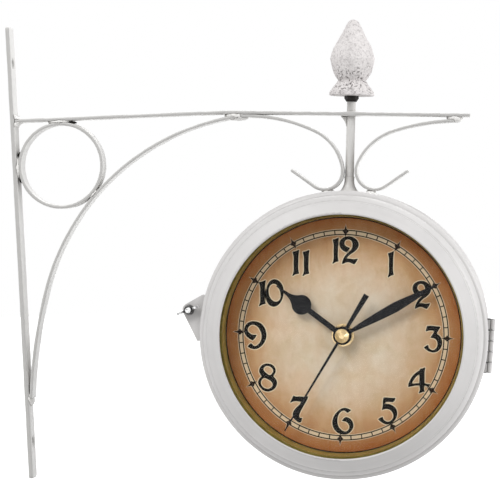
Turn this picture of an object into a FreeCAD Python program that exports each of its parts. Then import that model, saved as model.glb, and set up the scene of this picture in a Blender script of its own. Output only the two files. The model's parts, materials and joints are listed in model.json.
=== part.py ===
import FreeCAD, Part
import math
import os
import types

import Sketcher
from FreeCAD import Placement, Rotation, Vector

# A round two-faced station clock hung from a flat-iron wall bracket.
# Frame: origin midway between the two wall screws on the wall bar's back face,
# +X along the bracket arm, +Z up, the front dial faces -Y. All sizes in millimetres.

SIZES = [
    # wall bar
    ("bar_length", 293.4, "wall bar length"),
    ("bar_width", 12.0, "wall bar width"),
    ("bar_thickness", 3.0, "wall bar thickness"),
    ("bar_hole_inset", 23.7, "wall screw hole from each end of the bar"),
    ("bar_hole_diameter", 7.0, "wall screw hole"),
    ("bar_corner", 1.5, "rounding of the wall bar's four corners"),
    # arm
    ("arm_below_top", 61.1, "arm centre line below the top of the wall bar"),
    ("arm_thickness", 2.2, "arm and ring strip thickness"),
    ("strip_thickness", 2.0, "arch and scroll strip thickness"),
    ("strip_width", 12.0, "width of every bent strip, front to back"),
    ("arm_inner_length", 137.0, "wall bar to the welded bend in the arm"),
    ("arm_lean", 0.88, "droop of the inner arm, degrees"),
    ("arm_droop", 3.04, "further droop of the outer arm past the bend, degrees"),
    ("eye_radius", 6.0, "eye forged in the arm round the post"),
    ("eye_thickness", 3.0, "thickness of that eye"),
    # ring and arch
    ("ring_radius", 28.0, "outer radius of the ring under the arm"),
    ("ring_gap", 0.8, "gap the welds fill between the ring and the bar and arm"),
    ("weld_gap", 0.15, "gap the weld fills between the arch's foot and the bar"),
    ("arch_foot_below_arm", 180.3, "foot of the arch below the arm"),
    ("arch_lean", 4.86, "lean of the arch's foot from upright, degrees"),
    ("arch_low_radius", 325.3, "long lower curve of the arch"),
    ("arch_low_turn", 12.73, "turn of the lower curve, degrees"),
    ("arch_high_radius", 150.3, "upper curve of the arch"),
    ("arch_high_turn", 67.57, "turn of the upper curve, degrees"),
    # scrolls
    ("left_scroll_start", 10.1, "left scroll's end past the bend"),
    ("left_scroll_lead", 6.0, "straight lead of the left scroll along the arm"),
    ("left_scroll_wide_radius", 101.4, "first curve of the left scroll"),
    ("left_scroll_wide_turn", 24.6, "turn of that curve, degrees"),
    ("left_scroll_side_radius", 31.3, "second curve of the left scroll"),
    ("left_scroll_side_turn", 56.6, "turn of that curve, degrees"),
    ("left_scroll_hook_radius", 11.6, "hook of the left scroll"),
    ("left_scroll_hook_turn", 133.3, "turn of the hook, degrees"),
    ("left_scroll_tail", 17.9, "straight tail of the left scroll"),
    ("right_scroll_from_post", 62.9, "right scroll's end past the side of the post"),
    ("right_scroll_inset", 10.2, "right scroll's end before the arm's free end"),
    ("right_scroll_drop", 3.73, "right scroll's end below the arm's centre line"),
    ("right_scroll_slope", 1.7, "slope of the right scroll's end, degrees"),
    ("right_scroll_wide_radius", 133.0, "first curve of the right scroll"),
    ("right_scroll_wide_turn", 16.8, "turn of that curve, degrees"),
    ("right_scroll_side_radius", 37.1, "second curve of the right scroll"),
    ("right_scroll_side_turn", 48.7, "turn of that curve, degrees"),
    ("right_scroll_hook_radius", 11.9, "hook of the right scroll"),
    ("right_scroll_hook_turn", 147.9, "turn of the hook, degrees"),
    ("right_scroll_tail", 17.8, "straight tail of the right scroll"),
    # post and finial
    ("post_from_bend", 80.9, "post axis past the bend"),
    ("post_lean", 0.48, "lean of the post from square to the arm, degrees"),
    ("post_radius", 2.75, "hanging post"),
    ("post_above_arm", 11.4, "arm centre line to the finial's seat"),
    ("post_in_case", 9.0, "post end below the top of the case"),
    ("post_clearance", 0.15, "clearance round the post where it passes a hole"),
    ("thread_depth", 12.0, "post thread inside the finial"),
    ("thread_clearance", 0.05, "play round a threaded end"),
    ("finial_base_radius", 14.5, "finial's foot"),
    ("finial_waist_radius", 8.9, "finial's waist"),
    ("finial_belly_radius", 14.4, "finial's widest part"),
    ("finial_height", 49.0, "finial height"),
    ("nut_flats", 8.0, "nuts on the post, across flats"),
    ("nut_height", 3.6, "nuts on the post, height"),
    ("nut_cone_radius", 3.3, "underside of the coned nut below the finial"),
    ("washer_radius", 6.0, "washer inside the case"),
    ("washer_thickness", 1.0, "washer inside the case"),
    ("foot_radius", 6.2, "flared foot of the post, on the case"),
    ("foot_height", 11.0, "height of the flared foot"),
    ("gusset_reach", 4.0, "gusset under the arm, along the arm"),
    ("gusset_height", 7.6, "gusset under the arm, down the post"),
    ("gusset_thickness", 3.0, "gusset thickness"),
    # weld beads
    ("corner_bead", 3.6, "fillet between wall bar and arm"),
    ("long_bead", 8.0, "half length of a long bead"),
    ("short_bead", 5.0, "half length of a short bead"),
    ("thin_bead", 1.9, "half height of a thin bead"),
    ("fat_bead", 2.6, "half height of a fat bead"),
    ("weld_overhang", 0.4, "beads past the strips' edges, each side"),
    # case
    ("case_below_arm", 50.9, "top of the case below the arm, along the post"),
    ("drum_radius", 89.0, "outside of the drum"),
    ("shell_wall", 1.2, "sheet of the case"),
    ("lip_inset", 13.0, "opening in the front lip, in from the drum"),
    ("lip_width", 1.5, "width of the rounded front lip"),
    ("step_inset", 5.2, "step in the bezel, in from the drum"),
    ("step_depth", 4.4, "lip to the top of the step"),
    ("step_height", 1.4, "height of the step"),
    ("dip_inset", 1.0, "hollow in front of the rim bead, in from the drum"),
    ("dip_depth", 14.4, "lip to that hollow"),
    ("bead_rise", 2.0, "rim bead past the drum"),
    ("bead_depth", 18.0, "lip to the middle of the rim bead"),
    ("bead_half_width", 3.2, "half width of the rim bead"),
    ("split_half_depth", 12.0, "middle of the case to the split, in front of it"),
    ("split_gap", 0.4, "gap between cover and case"),
    # glass, spacer and dial
    ("glass_play", 0.15, "play of the glass against the bezel's slope"),
    ("glass_depth", 4.2, "lip to the front of the glass"),
    ("glass_thickness", 2.0, "glass"),
    ("spacer_inset", 0.8, "spacer ring in from the front opening"),
    ("spacer_wall", 1.6, "spacer ring wall"),
    ("dial_room", 7.8, "room between the dial plate and the drum's inside"),
    ("dial_depth", 19.2, "lip to the face of the dial"),
    ("dial_thickness", 0.8, "dial plate"),
    ("clip_width", 8.0, "dial clip"),
    ("clip_thickness", 0.8, "dial clip"),
    ("clip_foot", 5.0, "foot of a dial clip along the drum"),
    ("clip_grip", 2.0, "grip of a dial clip on the dial"),
    # hinge
    ("hinge_below_middle", 2.6, "hinge middle below the clock's middle, degrees"),
    ("hinge_length", 34.0, "hinge"),
    ("hinge_pin_rise", 3.6, "hinge pin past the drum"),
    ("hinge_pin_radius", 1.0, "hinge pin"),
    ("hinge_barrel_radius", 1.8, "hinge barrel"),
    ("hinge_fit", 0.06, "running fit of the hinge pin"),
    ("hinge_knuckle_gap", 0.35, "gap between knuckles"),
    ("hinge_leaf_to_bead", 0.4, "hinge leaf clear of the rim bead"),
    ("hinge_leaf_rise", 2.3, "hinge leaf's outer face past the drum"),
    # latch
    ("latch_above_middle", 7.3, "wing screw above the clock's middle, degrees"),
    ("latch_rise", 10.7, "wing screw past the drum"),
    ("lug_spread_up", 6.6, "lug foot above the wing screw, degrees"),
    ("lug_spread_down", 11.6, "lug foot below the wing screw, degrees"),
    ("lug_rise", 4.5, "lugs' ends past the drum"),
    ("lug_nose_radius", 4.2, "rounding of the lugs round the screw"),
    ("lug_thickness", 1.6, "lug plates"),
    ("lug_setback", 2.0, "each lug's inner face from the split"),
    ("screw_radius", 2.0, "wing screw shank"),
    ("screw_clearance", 0.3, "clearance round the shank in both lugs"),
    ("screw_past_lug", 2.5, "shank past the rear lug"),
    ("screw_hub_radius", 3.4, "wing screw hub"),
    ("screw_hub_height", 5.0, "wing screw hub"),
    ("wing_span", 7.6, "wing tip from the screw axis"),
    ("wing_height", 7.5, "wings, along the screw"),
    ("wing_thickness", 1.4, "wings"),
    ("wing_tilt", 22.0, "wings turned up from level, degrees"),
    ("snap_ring_radius", 3.4, "snap ring that keeps the screw in the cover"),
    ("snap_ring_thickness", 0.7, "snap ring"),
    # movement
    ("movement_back", 3.0, "middle of the case to the back of each movement"),
    ("movement_corner", 4.0, "corner radius of the housing"),
    ("lid_thickness", 2.0, "lid of the housing"),
    ("battery_radius", 7.1, "battery"),
    ("battery_length", 49.0, "battery without its tip"),
    ("battery_tip_radius", 2.75, "battery tip"),
    ("battery_tip", 1.3, "battery tip"),
    ("battery_room", 0.9, "room round the battery"),
    ("bay_end_wall", 1.3, "housing past each end of the battery bay"),
    ("bay_low_wall", 1.95, "housing below the battery bay"),
    ("bay_roof", 0.9, "housing between the battery bay and the dial"),
    ("contact_thickness", 0.4, "battery contact plates"),
    ("bush_radius", 3.9, "centre bush, outside"),
    ("bush_bore", 3.05, "centre bush, bore radius"),
    ("bush_length", 7.7, "centre bush"),
    ("bush_above_dial", 3.4, "centre bush in front of the dial"),
    ("bush_fit", 0.05, "bush in the dial, washer and nut"),
    ("dial_washer_radius", 7.0, "washer on the dial"),
    ("dial_washer_thickness", 0.8, "washer on the dial"),
    ("dial_nut_flats", 10.0, "nut on the dial, across flats"),
    ("dial_nut_height", 2.0, "nut on the dial"),
    ("knob_radius", 5.0, "hand-setting knob"),
    ("knob_height", 1.6, "hand-setting knob"),
    ("knob_gap", 0.3, "knob off the lid"),
    ("knob_stem_radius", 1.5, "stem of the knob"),
    ("knob_stem", 3.0, "stem inside the housing"),
    # hands, all on one axis
    ("arbor_fit", 0.05, "running fit between the hands' arbors"),
    ("hour_tube_radius", 3.0, "hour hand's tube"),
    ("minute_arbor_radius", 2.05, "minute hand's arbor"),
    ("second_arbor_radius", 1.0, "second hand's arbor"),
    ("arbor_depth", 4.6, "arbors behind the dial face"),
    ("hand_thickness", 0.5, "hands"),
    ("hour_hand_lift", 4.4, "hour hand in front of the dial"),
    ("hand_spacing", 1.6, "from one hand to the next"),
    ("hour_hand_inset", 28.0, "hour hand's tip in from the dial's edge"),
    ("hour_stem_half", 1.7, "half width of the hour hand's stem"),
    ("hour_bulb_radius", 6.2, "spade of the hour hand"),
    ("hour_bulb_from_tip", 20.0, "spade centre from the tip"),
    ("minute_hand_inset", 12.3, "minute hand's tip in from the dial's edge"),
    ("minute_leaf_half", 3.15, "half width of the minute hand's leaf"),
    ("minute_leaf_from_tip", 29.7, "widest part of the leaf from the tip"),
    ("minute_root_half", 1.2, "half width of the minute hand's root"),
    ("second_hand_inset", 10.0, "second hand's tip in from the dial's edge"),
    ("second_tail_length", 30.0, "second hand's tail"),
    ("second_tail_half", 1.8, "half width of the tail"),
    ("second_root_half", 0.9, "half width of the second hand at its axis"),
    ("second_tip_half", 0.4, "half width of the second hand's tip"),
    ("hub_radius", 5.8, "hub discs of the hour and minute hands"),
    ("second_hub_radius", 3.0, "hub disc of the second hand"),
    ("cap_radius", 4.4, "brass cap"),
    ("cap_top_radius", 1.7, "brass cap, top"),
    ("cap_height", 3.2, "brass cap"),
    # the time shown
    ("hour_angle", 305.3, "hour hand, degrees clockwise from 12"),
    ("minute_angle", 60.0, "minute hand, degrees clockwise from 12"),
    ("second_angle", 209.5, "second hand, degrees clockwise from 12"),
]

doc = FreeCAD.newDocument("station_clock")
sheet = doc.addObject("Spreadsheet::Sheet", "Sizes")
for row, (alias, number, note) in enumerate(SIZES, start=1):
    sheet.set(f"A{row}", note)
    sheet.set(f"B{row}", str(number))
    sheet.setAlias(f"B{row}", alias)
doc.recompute()


class Size:
    """A number from the sheet, or worked out from it, with the formula that gives it."""

    def __init__(self, value, formula=None):
        self.value = float(value)
        self.formula = formula or repr(float(value))

    def joined(self, other, sign, value):
        return Size(value, f"({self.formula} {sign} {as_size(other).formula})")

    def __add__(self, other):
        return self.joined(other, "+", self.value + as_size(other).value)

    def __sub__(self, other):
        return self.joined(other, "-", self.value - as_size(other).value)

    def __mul__(self, other):
        return self.joined(other, "*", self.value * as_size(other).value)

    def __truediv__(self, other):
        return self.joined(other, "/", self.value / as_size(other).value)

    def __neg__(self):
        return self * -1


def as_size(number):
    return number if isinstance(number, Size) else Size(number)


size = types.SimpleNamespace()
for alias, _, _ in SIZES:
    setattr(size, alias, Size(sheet.get(alias), f"Sizes.{alias}"))

ZERO = Size(0)
nodes = []

# sizes that follow from others: the case is as deep as the two movements need, and
# what is round or inside the drum follows its radius
size.clock_drop = size.case_below_arm + size.drum_radius
size.right_scroll_start = size.post_from_bend + size.post_radius + size.right_scroll_from_post
size.arm_outer_length = size.right_scroll_start + size.right_scroll_inset
size.lip_radius = size.drum_radius - size.lip_inset
size.step_radius = size.drum_radius - size.step_inset
size.dip_radius = size.drum_radius - size.dip_inset
size.bead_radius = size.drum_radius + size.bead_rise
size.hinge_pin_reach = size.drum_radius + size.hinge_pin_rise
size.latch_reach = size.drum_radius + size.latch_rise
size.spacer_radius = size.lip_radius - size.spacer_inset
size.dial_radius = size.drum_radius - size.shell_wall - size.dial_room
size.hour_hand_length = size.dial_radius - size.hour_hand_inset
size.minute_hand_length = size.dial_radius - size.minute_hand_inset
size.second_hand_length = size.dial_radius - size.second_hand_inset
size.bay_half_length = size.battery_length / 2 + size.battery_tip + size.battery_room
size.bay_height = size.battery_radius * 2 + size.battery_room
size.movement_width = (size.bay_half_length + size.bay_end_wall) * 2
size.movement_depth = size.bay_height + size.bay_roof
size.battery_below = size.movement_width / 2 - size.bay_low_wall - size.bay_height / 2
size.lip_half_depth = (
    size.movement_back + size.movement_depth + size.dial_thickness + size.dial_depth
)
size.hinge_leaf_width = (
    size.lip_half_depth
    - size.bead_depth
    - size.bead_half_width
    - size.hinge_leaf_to_bead
    - size.split_half_depth
    - size.split_gap
)


def bind(thing, prop, amount):
    """Tie a property to the sheet."""
    thing.setExpression(prop, as_size(amount).formula)


def node(thing, place=None):
    """Count a finished sub-part in, under its label, at its place."""
    if place is not None:
        thing.Placement = place
    nodes.append(thing)
    return thing


# ---------------------------------------------------------------- sketches


def new_body(label):
    body = doc.addObject("PartDesign::Body", label)
    body.Label = label
    return body


def new_sketch(body, role, lift=None):
    """A sketch on one of the body's own origin planes, lifted along the plane's normal."""
    sketch = body.newObject("Sketcher::SketchObject", f"{body.Name}_outline")
    plane = next(f for f in body.Origin.OriginFeatures if f.Role == role)
    sketch.AttachmentSupport = [(plane, "")]
    sketch.MapMode = "FlatFace"
    if lift is not None:
        bind(sketch, "AttachmentOffset.Base.z", lift)
    return sketch


def pin_point(sketch, edge, end, x, y):
    """Tie one end of an edge to two sizes; an end on an axis stays on that axis."""
    for amount, constraint, axis in ((x, "DistanceX", -2), (y, "DistanceY", -1)):
        amount = as_size(amount)
        if amount.value == 0.0:
            sketch.addConstraint(Sketcher.Constraint("PointOnObject", edge, end, axis))
            continue
        index = sketch.addConstraint(Sketcher.Constraint(constraint, edge, end, amount.value))
        bind(sketch, f"Constraints[{index}]", amount)


def arc_through(start, middle, end):
    """The arc through three points, with whether it runs anticlockwise from start to end."""
    centre = Part.Circle(start, middle, end).Center
    angles = [math.atan2(p.y - centre.y, p.x - centre.x) for p in (start, end)]
    side = (middle - start).cross(end - middle).z
    if side < 0:
        angles.reverse()
    if angles[1] < angles[0]:
        angles[1] += 2 * math.pi
    circle = Part.Circle(centre, Vector(0, 0, 1), start.distanceToPoint(centre))
    return Part.ArcOfCircle(circle, *angles), side > 0


def closed_outline(sketch, corners, pinned=True):
    """Draw a closed outline. Each corner is (x, y), and a corner followed by a third entry
    (x, y), the way point, is joined to the next corner by an arc through that point."""
    edges = []
    for here, there in zip(corners, corners[1:] + corners[:1]):
        start = Vector(as_size(here[0]).value, as_size(here[1]).value, 0)
        end = Vector(as_size(there[0]).value, as_size(there[1]).value, 0)
        if len(here) == 3:
            way = Vector(as_size(here[2][0]).value, as_size(here[2][1]).value, 0)
            curve, forward = arc_through(start, way, end)
        else:
            curve = Part.LineSegment(start, end)
            forward = True
        index = sketch.addGeometry(curve, False)
        edges.append((index, 1, 2) if forward else (index, 2, 1))
    for (edge, _, last), (follower, first, _) in zip(edges, edges[1:] + edges[:1]):
        sketch.addConstraint(Sketcher.Constraint("Coincident", edge, last, follower, first))
    if pinned:
        for (edge, first, _), corner in zip(edges, corners):
            pin_point(sketch, edge, first, corner[0], corner[1])


def circle(sketch, radius, x=ZERO, y=ZERO):
    x, y = as_size(x), as_size(y)
    centre = Vector(x.value, y.value, 0)
    edge = sketch.addGeometry(Part.Circle(centre, Vector(0, 0, 1), radius.value), False)
    index = sketch.addConstraint(Sketcher.Constraint("Radius", edge, radius.value))
    bind(sketch, f"Constraints[{index}]", radius)
    pin_point(sketch, edge, 3, x, y)


def rectangle(sketch, left, low, right, high):
    closed_outline(sketch, [(left, low), (right, low), (right, high), (left, high)])


# ---------------------------------------------------------------- features


def pad(body, sketch, length, both_ways=False, backwards=False):
    feature = body.newObject("PartDesign::Pad", f"{body.Name}_pad")
    feature.Profile = sketch
    bind(feature, "Length", length)
    feature.SideType = "Symmetric" if both_ways else "One side"
    feature.Reversed = backwards
    return feature


def pocket(body, sketch, length, both_ways=False, backwards=False):
    feature = body.newObject("PartDesign::Pocket", f"{body.Name}_pocket")
    feature.Profile = sketch
    bind(feature, "Length", length)
    feature.SideType = "Symmetric" if both_ways else "One side"
    feature.Reversed = backwards
    return feature


def turned(label, corners, role="XY_Plane", place=None):
    """A turned piece: the outline (radius, height) spun about the sketch's upright axis."""
    body = new_body(label)
    sketch = new_sketch(body, role)
    closed_outline(sketch, corners)
    spin = body.newObject("PartDesign::Revolution", f"{label}_spin")
    spin.Profile = sketch
    spin.ReferenceAxis = (sketch, ["V_Axis"])
    spin.Angle = 360
    return node(body, place)


def tube_corners(inner, outer, low, high):
    return [(inner, low), (outer, low), (outer, high), (inner, high)]


def cylinder(label, radius, height, place):
    piece = doc.addObject("Part::Cylinder", label)
    bind(piece, "Radius", radius)
    bind(piece, "Height", height)
    piece.Placement = place
    return piece


def box(label, length, width, height, place):
    piece = doc.addObject("Part::Box", label)
    bind(piece, "Length", length)
    bind(piece, "Width", width)
    bind(piece, "Height", height)
    piece.Placement = place
    return piece


def fused(label, pieces):
    piece = doc.addObject("Part::MultiFuse", label)
    piece.Shapes = pieces
    return piece


def cut(label, base, tool):
    piece = doc.addObject("Part::Cut", label)
    piece.Base = base
    piece.Tool = tool
    return piece


def grouped(label, pieces):
    piece = doc.addObject("Part::Compound", label)
    piece.Links = pieces
    return piece


# ---------------------------------------------------------------- frames


def move(x=0.0, y=0.0, z=0.0):
    return Placement(Vector(x, y, z), Rotation())


def turn(axis, degrees):
    return Placement(Vector(), Rotation(axis, degrees))


X_AXIS, Y_AXIS, Z_AXIS = Vector(1, 0, 0), Vector(0, 1, 0), Vector(0, 0, 1)
arm_height = size.bar_length / 2 - size.arm_below_top
# the place on the wall bar's face where the arm leaves it, square to the bar
ARM_SEAT = move(size.bar_thickness.value, 0, arm_height.value)
# the inner arm's centre line, drooping a little
ARM_ROOT = ARM_SEAT * turn(Y_AXIS, size.arm_lean.value)
# the outer arm's centre line from the bend on, drooping
ARM_OUTER = ARM_ROOT * move(size.arm_inner_length.value) * turn(Y_AXIS, size.arm_droop.value)
# the post where it crosses the arm
POST = ARM_OUTER * move(size.post_from_bend.value) * turn(Y_AXIS, size.post_lean.value)
# the middle of the clock, and each face seen from its own side with +Y towards the viewer
CLOCK = POST * move(0, 0, -size.clock_drop.value)
FACES = {"front": CLOCK * turn(Z_AXIS, 180), "rear": CLOCK}


# ---------------------------------------------------------------- wall bracket


def make_wall_bar():
    body = new_body("wall_bar")
    outline = new_sketch(body, "YZ_Plane")
    half_width = size.bar_width / 2
    half_length = size.bar_length / 2
    rectangle(outline, -half_width, -half_length, half_width, half_length)
    plate = pad(body, outline, size.bar_thickness)
    doc.recompute()
    corners = [
        f"Edge{number}"
        for number, edge in enumerate(plate.Shape.Edges, start=1)
        if abs(edge.tangentAt(edge.FirstParameter).x) > 0.99
    ]
    rounding = body.newObject("PartDesign::Fillet", "wall_bar_corners")
    rounding.Base = (plate, corners)
    bind(rounding, "Radius", size.bar_corner)
    hole_height = half_length - size.bar_hole_inset
    holes = new_sketch(body, "YZ_Plane")
    for height in (hole_height, -hole_height):
        circle(holes, size.bar_hole_diameter / 2, ZERO, height)
    pocket(body, holes, size.bar_thickness, backwards=True)
    return node(body)


def strip_corners(start, heading, runs, thickness, mirrored=False):
    """Corners of a bent strip seen on edge. Its centre line starts at start with heading in
    degrees from +X; runs are ("straight", length) or (radius, clockwise turn in degrees)."""
    x, z = start
    angle = math.radians(heading)
    stations = [(x, z, angle)]
    ways = []
    for kind, amount in runs:
        if kind == "straight":
            x += amount * math.cos(angle)
            z += amount * math.sin(angle)
            ways.append(None)
        else:
            centre_x, centre_z = x + kind * math.sin(angle), z - kind * math.cos(angle)
            half_way = angle - math.radians(amount) / 2
            angle -= math.radians(amount)
            ways.append(
                (centre_x - kind * math.sin(half_way), centre_z + kind * math.cos(half_way), half_way)
            )
            x, z = centre_x - kind * math.sin(angle), centre_z + kind * math.cos(angle)
        stations.append((x, z, angle))

    flip = -1 if mirrored else 1

    def beside(station, side):
        at_x, at_z, direction = station
        offset = side * thickness / 2
        return flip * (at_x - offset * math.sin(direction)), at_z + offset * math.cos(direction)

    corners = []
    for side, order, arcs in ((1, stations, ways), (-1, stations[::-1], ways[::-1])):
        for station, way in zip(order, arcs + [None]):
            corner = beside(station, side)
            corners.append((*corner, beside(way, side)) if way else corner)
    return corners


def make_strip(label, place, *path, mirrored=False):
    """A flat strip on edge, bent in the XZ plane."""
    body = new_body(label)
    sketch = new_sketch(body, "XZ_Plane")
    closed_outline(sketch, strip_corners(*path, mirrored=mirrored), pinned=False)
    pad(body, sketch, size.strip_width, both_ways=True)
    return node(body, place)


def make_arm():
    body = new_body("arm")
    half = size.arm_thickness.value / 2
    mitre = half * math.tan(math.radians(size.arm_droop.value) / 2)
    # the root end is cut to lie flat on the upright bar
    bevel = half * math.tan(math.radians(size.arm_lean.value))
    inner = size.arm_inner_length.value
    outer = size.arm_outer_length.value
    bend = move(inner) * turn(Y_AXIS, size.arm_droop.value)
    top_end = bend.multVec(Vector(outer, 0, half))
    low_end = bend.multVec(Vector(outer, 0, -half))
    corners = [
        (bevel, -half),
        (inner - mitre, -half),
        (low_end.x, low_end.z),
        (top_end.x, top_end.z),
        (inner + mitre, half),
        (-bevel, half),
    ]
    sketch = new_sketch(body, "XZ_Plane")
    closed_outline(sketch, corners, pinned=False)
    pad(body, sketch, size.strip_width, both_ways=True)
    crossing = bend * move(size.post_from_bend.value) * turn(Y_AXIS, size.post_lean.value)
    eye = body.newObject("PartDesign::AdditiveCylinder", "arm_eye")
    bind(eye, "Radius", size.eye_radius)
    bind(eye, "Height", size.eye_thickness)
    eye.Placement = crossing * move(0, 0, -size.eye_thickness.value / 2)
    hole = body.newObject("PartDesign::SubtractiveCylinder", "arm_eye_hole")
    bind(hole, "Radius", size.post_radius + size.post_clearance)
    bind(hole, "Height", size.eye_thickness * 2)
    hole.Placement = crossing * move(0, 0, -size.eye_thickness.value)
    return node(body, ARM_ROOT)


def make_ring():
    reach = size.ring_radius + size.ring_gap
    inner = size.ring_radius - size.arm_thickness
    arm_fall = math.tan(math.radians(size.arm_lean.value))
    body = new_body("bracket_ring")
    sketch = new_sketch(body, "XZ_Plane")
    circle(sketch, size.ring_radius)
    circle(sketch, inner)
    pad(body, sketch, size.strip_width, both_ways=True)
    drop = reach + reach * arm_fall + size.arm_thickness / 2
    return node(body, ARM_SEAT * move(reach.value, 0, -drop.value))


def make_arch():
    lean = size.arch_lean.value
    half = size.strip_thickness.value / 2
    start = (half + size.weld_gap.value / 2, -size.arch_foot_below_arm.value)
    runs = [
        (size.arch_low_radius.value, size.arch_low_turn.value),
        (size.arch_high_radius.value, size.arch_high_turn.value),
    ]
    return make_strip("arch_brace", ARM_SEAT, start, 90 - lean, runs, 2 * half)


def make_scrolls():
    thickness = size.strip_thickness.value
    below = (size.arm_thickness.value + thickness) / 2
    left_runs = [
        ("straight", size.left_scroll_lead.value),
        (size.left_scroll_wide_radius.value, size.left_scroll_wide_turn.value),
        (size.left_scroll_side_radius.value, size.left_scroll_side_turn.value),
        (size.left_scroll_hook_radius.value, size.left_scroll_hook_turn.value),
        ("straight", size.left_scroll_tail.value),
    ]
    start = (size.left_scroll_start.value, -below)
    left = make_strip("scroll_left", ARM_OUTER, start, 0, left_runs, thickness)
    right_runs = [
        (size.right_scroll_wide_radius.value, size.right_scroll_wide_turn.value),
        (size.right_scroll_side_radius.value, size.right_scroll_side_turn.value),
        (size.right_scroll_hook_radius.value, size.right_scroll_hook_turn.value),
        ("straight", size.right_scroll_tail.value),
    ]
    start = (-size.right_scroll_start.value, -size.right_scroll_drop.value)
    slope = -size.right_scroll_slope.value
    right = make_strip(
        "scroll_right", ARM_OUTER, start, slope, right_runs, thickness, mirrored=True
    )
    return left, right


# ---------------------------------------------------------------- post and finial


def hexagon(sketch, flats):
    corner = flats.value / math.sqrt(3)
    corners = [
        (corner * math.cos(math.radians(60 * k)), corner * math.sin(math.radians(60 * k)))
        for k in range(6)
    ]
    closed_outline(sketch, corners, pinned=False)


def make_nut(label, flats, height, bore, place, role="XY_Plane", backwards=False):
    body = new_body(label)
    sketch = new_sketch(body, role)
    hexagon(sketch, flats)
    circle(sketch, bore)
    pad(body, sketch, height, backwards=backwards)
    return node(body, place)


def make_coned_nut(bore, place):
    """The nut that locks the finial, turned to a cone on its underside."""
    body = new_body("finial_nut")
    flats = new_sketch(body, "XY_Plane")
    hexagon(flats, size.nut_flats)
    circle(flats, bore)
    pad(body, flats, size.nut_height)
    wide = size.nut_flats * 0.62
    waste = new_sketch(body, "XZ_Plane")
    closed_outline(
        waste,
        [(size.nut_cone_radius, ZERO), (wide, ZERO), (wide, size.nut_height * 0.7)],
    )
    groove = body.newObject("PartDesign::Groove", "finial_nut_cone")
    groove.Profile = waste
    groove.ReferenceAxis = (waste, ["V_Axis"])
    groove.Angle = 360
    node(body, place)


def make_post_and_finial():
    case_top = size.clock_drop - size.drum_radius
    low = case_top + size.post_in_case
    length = low + size.post_above_arm + size.thread_depth
    post = cylinder("post", size.post_radius, length, POST * move(0, 0, -low.value))
    node(post)

    bore = size.post_radius + size.thread_clearance
    seat = POST * move(0, 0, size.post_above_arm.value)
    bore_depth = size.thread_depth + size.arm_thickness
    height = size.finial_height
    base, waist, belly = (
        size.finial_base_radius,
        size.finial_waist_radius,
        size.finial_belly_radius,
    )
    # the tip is a cap of a ball centred on the axis
    tip_width, tip_drop = (belly * 0.27).value, (height * 0.055).value
    ball = (tip_width**2 + tip_drop**2) / (2 * tip_drop)
    half_cap = math.asin(tip_width / ball) / 2
    tip_way = (ball * math.sin(half_cap), height.value - ball * (1 - math.cos(half_cap)))
    turned(
        "finial",
        [
            (bore, ZERO),
            (base, ZERO),
            (base, height * 0.05, (base * 0.84, height * 0.11)),
            (waist, height * 0.2, (belly * 0.885, height * 0.345)),
            (belly, height * 0.48, (belly * 0.87, height * 0.615)),
            (belly * 0.66, height * 0.728),
            (belly * 0.27, height * 0.945, tip_way),
            (ZERO, height),
            (ZERO, bore_depth),
            (bore, bore_depth),
        ],
        role="XZ_Plane",
        place=seat,
    )
    make_coned_nut(bore, seat * move(0, 0, -size.nut_height.value))

    inside = size.drum_radius - size.shell_wall
    rim = math.sqrt(inside.value**2 - size.washer_radius.value**2)
    washer_place = CLOCK * move(0, 0, rim - size.washer_thickness.value)
    hole = size.post_radius + size.post_clearance
    turned(
        "post_washer",
        tube_corners(hole, size.washer_radius, ZERO, size.washer_thickness),
        role="XZ_Plane",
        place=washer_place,
    )
    make_nut(
        "post_nut",
        size.nut_flats,
        size.nut_height,
        bore,
        washer_place * move(0, 0, -size.nut_height.value),
    )
    return post


def make_post_foot(drum):
    """The foot flares out onto the case and is cut to its curve."""
    bore = size.post_radius + size.thread_clearance
    neck = bore + 0.5
    drop = size.clock_drop - size.drum_radius
    skirt = size.foot_radius
    flare = (neck + (skirt - neck) * 0.22, size.foot_height * 0.42)
    body = new_body("post_foot_blank")
    sketch = new_sketch(body, "XZ_Plane")
    closed_outline(
        sketch,
        [
            (bore, -size.foot_height * 0.2),
            (skirt, -size.foot_height * 0.2),
            (skirt, size.foot_height * 0.12, flare),
            (neck, size.foot_height),
            (bore, size.foot_height),
        ],
    )
    spin = body.newObject("PartDesign::Revolution", "post_foot_spin")
    spin.Profile = sketch
    spin.ReferenceAxis = (sketch, ["V_Axis"])
    spin.Angle = 360
    body.Placement = POST * move(0, 0, -drop.value)
    return node(cut("post_foot", body, drum))


def make_gusset(post):
    """A small web under the arm, on the wall side of the post, with a hollow edge."""
    reach, drop = size.gusset_reach, size.gusset_height
    body = new_body("arm_gusset_blank")
    sketch = new_sketch(body, "XZ_Plane")
    face = -size.post_radius
    top = -size.eye_thickness / 2
    closed_outline(
        sketch,
        [
            (ZERO, top),
            (face - reach, top, (face - reach * 0.35, top - drop * 0.4)),
            (face, top - drop),
            (ZERO, top - drop),
        ],
    )
    pad(body, sketch, size.gusset_thickness, both_ways=True)
    body.Placement = POST
    return node(cut("arm_gusset", body, post))


# ---------------------------------------------------------------- case


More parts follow.
